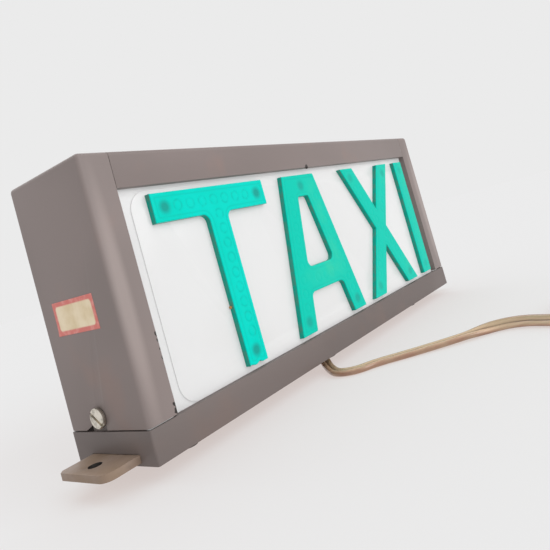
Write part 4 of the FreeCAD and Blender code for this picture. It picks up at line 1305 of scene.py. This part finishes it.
    def face(
        self, loops: Sequence[np.ndarray], edges: Sequence[tuple[int, int]]
    ) -> tuple[np.ndarray, np.ndarray]:
        """Join the face's points into triangles.

        Args:
            loops: the closed outlines.
            edges: pairs of the outlines' points, which every triangle keeps to.

        Returns:
            The points, the outlines' own first, and the triangles, counter-clockwise from the front.
        """
        flat = np.vstack([*loops, self.spots(loops)])
        verts, _, faces = delaunay_2d_cdt([Vector(p) for p in flat.tolist()], edges, [], 0, 1e-5)[:3]
        flat, faces = np.array([tuple(v) for v in verts]), np.array(faces)
        faces = faces[self.clearance(flat[faces].mean(1), loops)[1]]
        turn = np.cross(flat[faces[:, 1]] - flat[faces[:, 0]], flat[faces[:, 2]] - flat[faces[:, 0]])
        faces[turn < 0] = faces[turn < 0][:, ::-1]
        return flat, faces

    def marks(self, flat: np.ndarray, near: np.ndarray) -> dict[str, np.ndarray]:
        """Mark the face's points.

        A ring and the scribed line are exp(-(distance from it / half width) squared), a screw's spot fades
        evenly with distance, and a haze is exp(-(x share squared + z share squared)).

        Args:
            flat: the face's points, (x, z).
            near: their distances to the outline.

        Returns:
            By the mark's name, its share of 0 to 1 at each point.
        """

        def away(marks: Sequence[tuple[float, float]]) -> np.ndarray:
            """Give the distance to the nearest of some marks."""
            return np.linalg.norm(flat[:, None] - np.array(marks, float)[None], axis=-1).min(1)

        haze = np.zeros(len(flat))
        for patch in self.hazes:
            share = ((flat[:, 0] - patch.x) / patch.wide) ** 2 + ((flat[:, 1] - patch.z) / patch.tall) ** 2
            haze += patch.strength * np.exp(-share)
        return {
            "ring": np.exp(-(((away(self.rings) - self.ring_mm) / 0.5) ** 2)),
            "inset": np.exp(-(((near - self.scribe_mm) / 0.4) ** 2)),
            "spot": np.clip((3.9 - away(self.screws)) / 2.4, 0, 1),
            "haze": haze,
        }

    def cast(self) -> bpy.types.Object:
        """Cast the letter: a face with rounded edges, two rows of wall, and a flat back.

        Near the outline the face falls back by edge - root(edge squared - (edge - distance) squared), and it
        dips a few hundredths of a millimetre at each mark.

        Returns:
            The closed piece, with its marks on its points.
        """
        low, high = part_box(self.node)
        front, back = low.y / MM, high.y / MM
        loops = self.outlines()
        outline = np.vstack(loops)
        edges, first = [], 0
        for ring in loops:
            count = len(ring)
            edges += [(first + i, first + (i + 1) % count) for i in range(count)]
            first += count
        flat, faces = self.face(loops, edges)
        near, _ = self.clearance(flat, loops)
        near[: len(outline)] = 0.0
        marks = self.marks(flat, near)
        short = np.clip(self.edge_mm - near, 0, self.edge_mm)
        drop = self.edge_mm - np.sqrt(self.edge_mm**2 - short**2)
        relief = 0.07 * marks["ring"] + 0.06 * marks["inset"] + 0.10 * marks["spot"]
        count, rim = len(flat), len(outline)
        top = np.stack([flat[:, 0], front + drop + relief, flat[:, 1]], -1)
        depths = (front + self.edge_mm + 0.15, back)
        walls = [np.stack([outline[:, 0], np.full(rim, depth), outline[:, 1]], -1) for depth in depths]
        rear = np.stack([flat[:, 0], np.full(count, back), flat[:, 1]], -1)
        sides = []
        for a, b in edges:
            sides.append((a, b, count + b, count + a))
            sides.append((count + a, count + b, count + rim + b, count + rim + a))
        behind = faces[:, ::-1] + count + 2 * rim
        points = np.vstack([top, *walls, rear]) * MM
        obj = new_mesh(self.node + "_cast", points, [*faces.tolist(), *sides, *behind.tolist()])
        marks["ring"] *= self.ring_share
        marks["spot"] *= self.spot_share
        unmarked = 2 * rim + count
        for name, share in marks.items():
            mark_points(obj, name, np.concatenate([share, np.zeros(unmarked)]))
        mark_points(obj, "wall", np.concatenate([0.55 * (near < 0.01), np.ones(unmarked)]))
        merge(obj, 1e-7)
        obj.data.set_sharp_from_angle(angle=math.radians(50))
        return obj

    def build(self) -> bpy.types.Object:
        """Cast the letter, put it in its place and dress it.

        Returns:
            The letter.
        """
        obj = self.cast()
        stand_for(obj, self.node)
        return dress(obj, self.finish)


@dataclass
class Lettering:
    """The four letters on the panel, their screws, and a bead of old resin beside the first.

    Attributes:
        low: foot of the letters.
        high: head of the letters.
        stroke: width of the straight strokes.
        corner: radius of the inner corners.
        pitch: spacing of the ring marks.
    """

    low: float = 23.0
    high: float = 108.0
    stroke: float = 12.8
    corner: float = 3.5
    pitch: float = 7.35

    def along(self, start: tuple[float, float], end: tuple[float, float]) -> list[tuple[float, float]]:
        """Space ring marks evenly from one point to another.

        Args:
            start: middle of the first ring, (x, z).
            end: middle of the last ring.

        Returns:
            The rings' middles, about a pitch apart.
        """
        a, b = np.array(start), np.array(end)
        count = max(2, round(float(np.linalg.norm(b - a)) / self.pitch) + 1)
        return [tuple(a + (b - a) * share) for share in np.linspace(0, 1, count)]

    def tee(self) -> BlockLetter:
        """Lay out the first letter: a bar over a stem.

        Returns:
            The letter, not yet cast.
        """
        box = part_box("letter_t")
        left, right = box[0].x / MM, box[1].x / MM
        middle, half, bar = (left + right) / 2, self.stroke / 2, self.high - self.stroke
        outline = [
            (left, self.high, 0),
            (left, bar, 0),
            (middle - half, bar, self.corner),
            (middle - half, self.low, 0),
            (middle + half, self.low, 0),
            (middle + half, bar, self.corner),
            (right, bar, 0),
            (right, self.high, 0),
        ]
        level = 101.6
        rings = self.along((middle - 23.6, level), (middle + 21.9, level))
        rings += self.along((middle + 0.5, 94.6), (middle + 0.5, 38.0))
        screws = [(middle - 31, 101.5), (middle + 31, 101.5), (middle, 29.3)]
        chips = [(middle + 0.4, 1.3, 0.9), (middle - 5.4, 1.4, 0.8)]
        return BlockLetter(
            "letter_t", [outline], screws, rings, (), chips, BRIGHT_GREEN, ring_share=0.34, spot_share=0.85
        )

    def aye(self) -> BlockLetter:
        """Lay out the second letter: two legs, a crossbar and an eye.

        Returns:
            The letter, not yet cast.
        """
        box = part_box("letter_a")
        middle, foot = (box[0].x + box[1].x) / 2 / MM, (box[1].x - box[0].x) / 2 / MM
        head, leg, bar_low, bar_high, eye = 15.6, 13.4, 43.0, 56.5, 95.6
        slope = (foot - head) / (self.high - self.low)

        def reach(level: float, inwards: float = leg) -> float:
            """Give how far a leg's line, some way in from its outer edge, stands from the middle."""
            return foot - inwards - slope * (level - self.low)

        outline = [
            (middle - foot, self.low, 0),
            (middle - foot + leg, self.low, 0),
            (middle - reach(bar_low), bar_low, self.corner),
            (middle + reach(bar_low), bar_low, self.corner),
            (middle + foot - leg, self.low, 0),
            (middle + foot, self.low, 0),
            (middle + head, self.high, 0),
            (middle - head, self.high, 0),
        ]
        opening = [
            (middle - reach(bar_high), bar_high, self.corner),
            (middle - reach(eye), eye, 1.5),
            (middle + reach(eye), eye, 1.5),
            (middle + reach(bar_high), bar_high, self.corner),
        ]
        rings = []
        for sense in (-1, 1):
            ends = [(middle + sense * reach(level, leg / 2), level) for level in (36.5, 94.0)]
            rings += self.along(*ends)
        rings += self.along((middle - 7.4, 49.7), (middle + 7.4, 49.7))
        screws = [(middle, 101.5), (middle - 26.3, 29.3), (middle + 26.3, 29.3)]
        hazes = [
            Haze(middle + 7, 52, 13, 8, 1.0),
            Haze(middle + 16, 62, 5, 11, 0.7),
            Haze(middle + 13, 86, 5, 9, 0.8),
            Haze(middle + 9, 100, 7, 6, 0.6),
            Haze(middle - 14, 51, 8, 5, 0.35),
        ]
        return BlockLetter("letter_a", [outline, opening], screws, rings, hazes)

    def ex(self) -> BlockLetter:
        """Lay out the third letter: two crossed strokes.

        Returns:
            The letter, not yet cast.
        """
        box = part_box("letter_x")
        middle, half = (box[0].x + box[1].x) / 2 / MM, (box[1].x - box[0].x) / 2 / MM
        wide = 15.2
        rise, inner, run = self.high - self.low, half - wide, 2 * half - wide
        notch, level = rise * inner / run, (self.high + self.low) / 2
        outline = [
            (middle - half, self.high, 0),
            (middle - wide / 2, level, 0),
            (middle - half, self.low, 0),
            (middle - inner, self.low, 0),
            (middle, self.low + notch, 0),
            (middle + inner, self.low, 0),
            (middle + half, self.low, 0),
            (middle + wide / 2, level, 0),
            (middle + half, self.high, 0),
            (middle + inner, self.high, 0),
            (middle, self.high - notch, 0),
            (middle - inner, self.high, 0),
        ]
        reach = 23.4
        rings = self.along((middle - reach + 2.5, 94.2), (middle + reach - 2.5, 36.6))
        other = self.along((middle + reach - 2.5, 94.2), (middle - reach + 2.5, 36.6))
        rings += [p for p in other if abs(p[1] - level) > 7]
        screws = [(middle + a * reach, z) for a in (-1, 1) for z in (101.5, 29.3)]
        hazes = [
            Haze(middle + 25, 100, 7, 9, 0.7),
            Haze(middle + 22, 34, 8, 8, 0.45),
            Haze(middle - 24, 30, 7, 7, 0.4),
            Haze(middle - 24, 100, 6, 6, 0.3),
        ]
        return BlockLetter("letter_x", [outline], screws, rings, hazes, spot_share=0.45)

    def eye(self) -> BlockLetter:
        """Lay out the last letter: one upright stroke.

        Returns:
            The letter, not yet cast.
        """
        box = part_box("letter_i")
        left, right = box[0].x / MM, box[1].x / MM
        middle = (left + right) / 2
        outline = [(left, self.high, 0), (left, self.low, 0), (right, self.low, 0), (right, self.high, 0)]
        hazes = [Haze(right - 2, 96, 6, 22, 0.75), Haze(right - 2, 40, 5, 26, 0.6)]
        rings = self.along((middle, 94.0), (middle, 37.0))
        screws = [(middle, 101.5), (middle, 29.3)]
        return BlockLetter("letter_i", [outline], screws, rings, hazes, spot_share=0.3)

    def build(self) -> None:
        """Cast the letters and drive their screws."""
        for letter in (self.tee(), self.aye(), self.ex(), self.eye()):
            letter.build()
        dress(softened("letter_screws", 0.4), ZINC)
        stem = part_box("letter_t")
        spot = ((stem[0].x + stem[1].x) / 2 - 0.0066, stem[1].y - 0.0007, 0.0515)
        profile = [(0.0, -0.75), (0.5, -0.6), (0.85, 0.0), (0.55, 0.5), (0.0, 0.65)]
        bead = turned("resin_bead", profile, spot, (0, 0, 1), 16)
        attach(bead, body_of("letter_t"))
        dress(bead, RESIN)


# --------------------------------------------------------------------- casing


@dataclass
class Casing:
    """Folded tray and hood, ears, rivets, feet, clips and the panel between them.

    Attributes:
        sheet_edge_mm: how much the paint rounds a sheet's cut edge.
        plate_edge_mm: how much a thick plate's edge is rounded.
    """

    sheet_edge_mm: float = 0.22
    plate_edge_mm: float = 0.45

    def sheets(self) -> None:
        """Dress the folded sheet parts."""
        for node in ("left_end_cap", "right_end_cap"):
            dress(softened(node, self.sheet_edge_mm), CASING)
        dress(softened("top_cover", self.sheet_edge_mm), COVER)
        for node in ("base_tray", "left_hood_bracket", "right_hood_bracket"):
            dress(softened(node, self.sheet_edge_mm), SHADED_TRAY)

    def flake(self) -> None:
        """Hang the curled flake of paint under the rail's edge, at its chip."""
        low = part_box("opal_panel")[0].y
        spot = (-0.0002, low - 0.0030, 0.1115)
        profile = [(0.0, -0.7), (0.5, -0.5), (0.8, 0.0), (0.6, 0.4), (0.0, 0.5)]
        flake = turned("rail_flake", profile, spot, steps=14)
        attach(flake, body_of("top_cover"))
        dress(flake, FLAKE)

    def ears(self) -> None:
        """Dress the mounting ears and the rivets through them."""
        for side in ("left", "right"):
            dress(softened(f"{side}_mounting_ear", self.plate_edge_mm, 3), EAR)
        dress(softened("ear_rivets", 0.5, 3), ALUMINIUM)
        dress(softened("seam_rivets", 0.3, 2), ALUMINIUM)

    def feet(self) -> None:
        """Dress the rubber feet and their screws."""
        for row in ("front", "rear"):
            for side in ("left", "right"):
                dress(softened(f"{row}_{side}_foot", 0.7, 3), RUBBER)
        dress(softened("foot_screws", 0.3), ZINC)
        dress(softened("lead_grommet", 0.4, 3), RUBBER)

    def panel(self) -> None:
        """Dress the opal panel and the clips behind it."""
        dress(softened("opal_panel", 0.55, 4), OPAL)
        dress(softened("panel_clips", 0.2), ZINC)

    def fasteners(self) -> None:
        """Dress the side screws, their washers and their weld nuts."""
        for side in ("left", "right"):
            dress(softened(f"{side}_side_screw", 0.3, 3), NICKEL)
            dress(softened(f"{side}_spring_washer", 0.15), NICKEL)
            dress(softened(f"{side}_weld_nut", 0.4), ZINC)

    def build(self) -> None:
        """Dress every piece of the casing."""
        self.sheets()
        self.flake()
        self.ears()
        self.feet()
        self.panel()
        self.fasteners()


@dataclass
class SideLabel:
    """A blank gummed label with a printed border, one corner lifting.

    Attributes:
        border_mm: width of the printed border.
        corner_mm: radius of the border's inner corners.
        lift_mm: how far the loose corner stands off.
    """

    border_mm: float = 1.9
    corner_mm: float = 1.3
    lift_mm: float = 0.35

    def build(self) -> bpy.types.Object:
        """Lay the sheet on the casing.

        A point stands off by lift * (nearness to the loose corner) cubed. The border's share is 1 outside a
        rounded rectangle, whose distance is that of a box shrunk by its corner radius.

        Returns:
            The label.
        """
        low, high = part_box("side_label")
        u, v = np.meshgrid(np.linspace(0, 1, 89), np.linspace(0, 1, 43))
        wide, tall = (high.y - low.y) / MM, (high.z - low.z) / MM
        a = np.abs(u - 0.5) * wide - (wide / 2 - self.border_mm - self.corner_mm)
        b = np.abs(v - 0.5) * tall - (tall / 2 - self.border_mm - self.corner_mm)
        away = np.hypot(np.maximum(a, 0), np.maximum(b, 0)) + np.minimum(np.maximum(a, b), 0) - self.corner_mm
        share = np.clip(away / 0.3 + 0.5, 0, 1)
        loose = np.clip(1 - np.hypot((1 - u) * wide, v * tall) / 7.0, 0, 1) ** 3
        x = low.x / MM + 0.02 - self.lift_mm * loose
        sheet = np.stack([x * MM, low.y + u * wide * MM, low.z + v * tall * MM], -1)
        obj = new_mesh("side_label_sheet", sheet.reshape(-1, 3), grid_faces(43, 89)[:, ::-1])
        mark_points(obj, "border", share)
        gauge = obj.modifiers.new("Gauge", "SOLIDIFY")
        gauge.thickness, gauge.offset = 0.09 * MM, -1.0
        stand_for(obj, "side_label")
        return dress(obj, PAPER)


# ---------------------------------------------------------------------- lamps


@dataclass
class Lamp:
    """One bayonet lamp with its holder and bracket.

    Attributes:
        side: left or right.
        neck_mm: the globe's radius where the cap holds it.
        glass_mm: gauge of the glass.
        coil_turns: turns of the filament.
        coil_mm: radius of the filament's helix.
        posts_mm: how far each post stands from the middle at its top.
        light_mm: height of the filament over the globe's foot.
    """

    side: str
    neck_mm: float = 6.9
    glass_mm: float = 0.5
    coil_turns: int = 12
    coil_mm: float = 0.45
    posts_mm: float = 4.0
    light_mm: float = 17.0

    @staticmethod
    def seat(node: str) -> tuple[tuple[float, float, float], float, float]:
        """Measure a CAD node that is round about an upright axis.

        Args:
            node: the node.

        Returns:
            The middle of its foot in metres, and its height and radius in millimetres.
        """
        low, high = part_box(node)
        middle = ((low.x + high.x) / 2, (low.y + high.y) / 2, low.z)
        return middle, (high.z - low.z) / MM, (high.x - low.x) / 2 / MM

    def bulb(self) -> None:
        """Blow the globe: a pear that narrows to its cap, turned from its radius at each height."""
        node = f"{self.side}_bulb_glass"
        middle, tall, wide = self.seat(node)
        part = np.linspace(0, 1, 25)
        rise = np.sin(np.clip((part - 0.12) / 0.55, 0, 1) * math.pi / 2)
        swell = self.neck_mm + (wide - self.neck_mm) * rise**2
        crown = np.sqrt(np.clip(1 - (np.clip((part - 0.63) / 0.37, 0, 1)) ** 2, 0, 1))
        outside = list(zip((swell * crown).tolist(), (part * tall).tolist()))
        gauge = self.glass_mm
        inside = [(max(r - gauge, 0.0), h - gauge if r < 3 else h) for r, h in reversed(outside)]
        globe = turned(f"{self.side}_globe", [*outside, *inside, outside[0]], middle, steps=40)
        stand_for(globe, node)
        dress(globe, GLASS)
        self.filament(middle)

    def filament(self, foot: Sequence[float]) -> None:
        """Wind the filament between two posts: a helix that arches upwards, and two leaning wires.

        Args:
            foot: the middle of the globe's foot, metres.
        """
        turn = np.linspace(0, 2 * math.pi * self.coil_turns, 240)
        share = turn / turn[-1]
        x, y = self.posts_mm * (2 * share - 1), self.coil_mm * np.cos(turn)
        z = self.light_mm + 1.2 * np.sin(math.pi * share) + self.coil_mm * np.sin(turn)
        lines = [np.stack([x, y, z], -1)]
        for top in (-self.posts_mm, self.posts_mm):
            lines.append(np.array([(top * 0.6, 0, 0.5), (top * 0.8, 0, 8), (top, 0, self.light_mm)], float))
        for number, line in enumerate(lines):
            placed = line * MM + np.array(foot)
            wire = wire_along(f"{self.side}_filament_{number}", placed, 0.1 if number == 0 else 0.25)
            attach(wire, body_of(f"{self.side}_bulb_glass"))
            dress(wire, ZINC)

    def cap(self) -> None:
        """Stamp the bayonet cap: a soldered foot, a straight shell and a rolled rim at its mouth."""
        node = f"{self.side}_bulb_cap"
        middle, tall, wide = self.seat(node)
        solder = [(0, 0), (2.0, 0.0), (2.4, 0.5), (2.6, 0.9)]
        shoulder = [(wide - 1.2, 1.0), (wide - 0.5, 1.3), (wide - 0.35, 2.0)]
        rim = [(0.35, 2.6), (0.1, 2.2), (0.0, 1.6), (0.1, 1.0), (0.5, 0.6), (0.7, 0.0)]
        mouth = [(wide - inwards, tall - below) for inwards, below in rim] + [(0, tall)]
        shell = turned(f"{self.side}_cap_shell", [*solder, *shoulder, *mouth], middle, steps=56)
        stand_for(shell, node)
        dress(shell, BRASS)

    def build(self) -> None:
        """Dress the whole lamp."""
        self.bulb()
        self.cap()
        dress(softened(f"{self.side}_lamp_bracket", 0.25), ZINC)
        dress(softened(f"{self.side}_lampholder", 0.2), BRASS)
        dress(softened(f"{self.side}_holder_insulator", 0.3), PHENOLIC)
        dress(softened(f"{self.side}_contact_spring", 0.15), ZINC)
        dress(softened(f"{self.side}_centre_contact", 0.3), BRASS)


@dataclass
class Wiring:
    """Terminal block, its screws, and the wires inside the tray."""

    def build(self) -> None:
        """Dress the wiring."""
        dress(softened("terminal_block", 0.6, 3), PHENOLIC)
        dress(softened("terminal_screws", 0.25), BRASS)
        for node in ("inner_lead", "left_lamp_wire", "right_lamp_wire"):
            dress(frame["nodes"][node], WIRE)


def main() -> None:
    """Build the scene's pieces in order."""
    logging.basicConfig(level=logging.INFO, format="%(message)s")
    Studio().build()
    TwinLead().build()
    Casing().build()
    SideLabel().build()
    Lettering().build()
    Lamp("left").build()
    Lamp("right").build()
    Wiring().build()


if __name__ == "__main__":
    main()
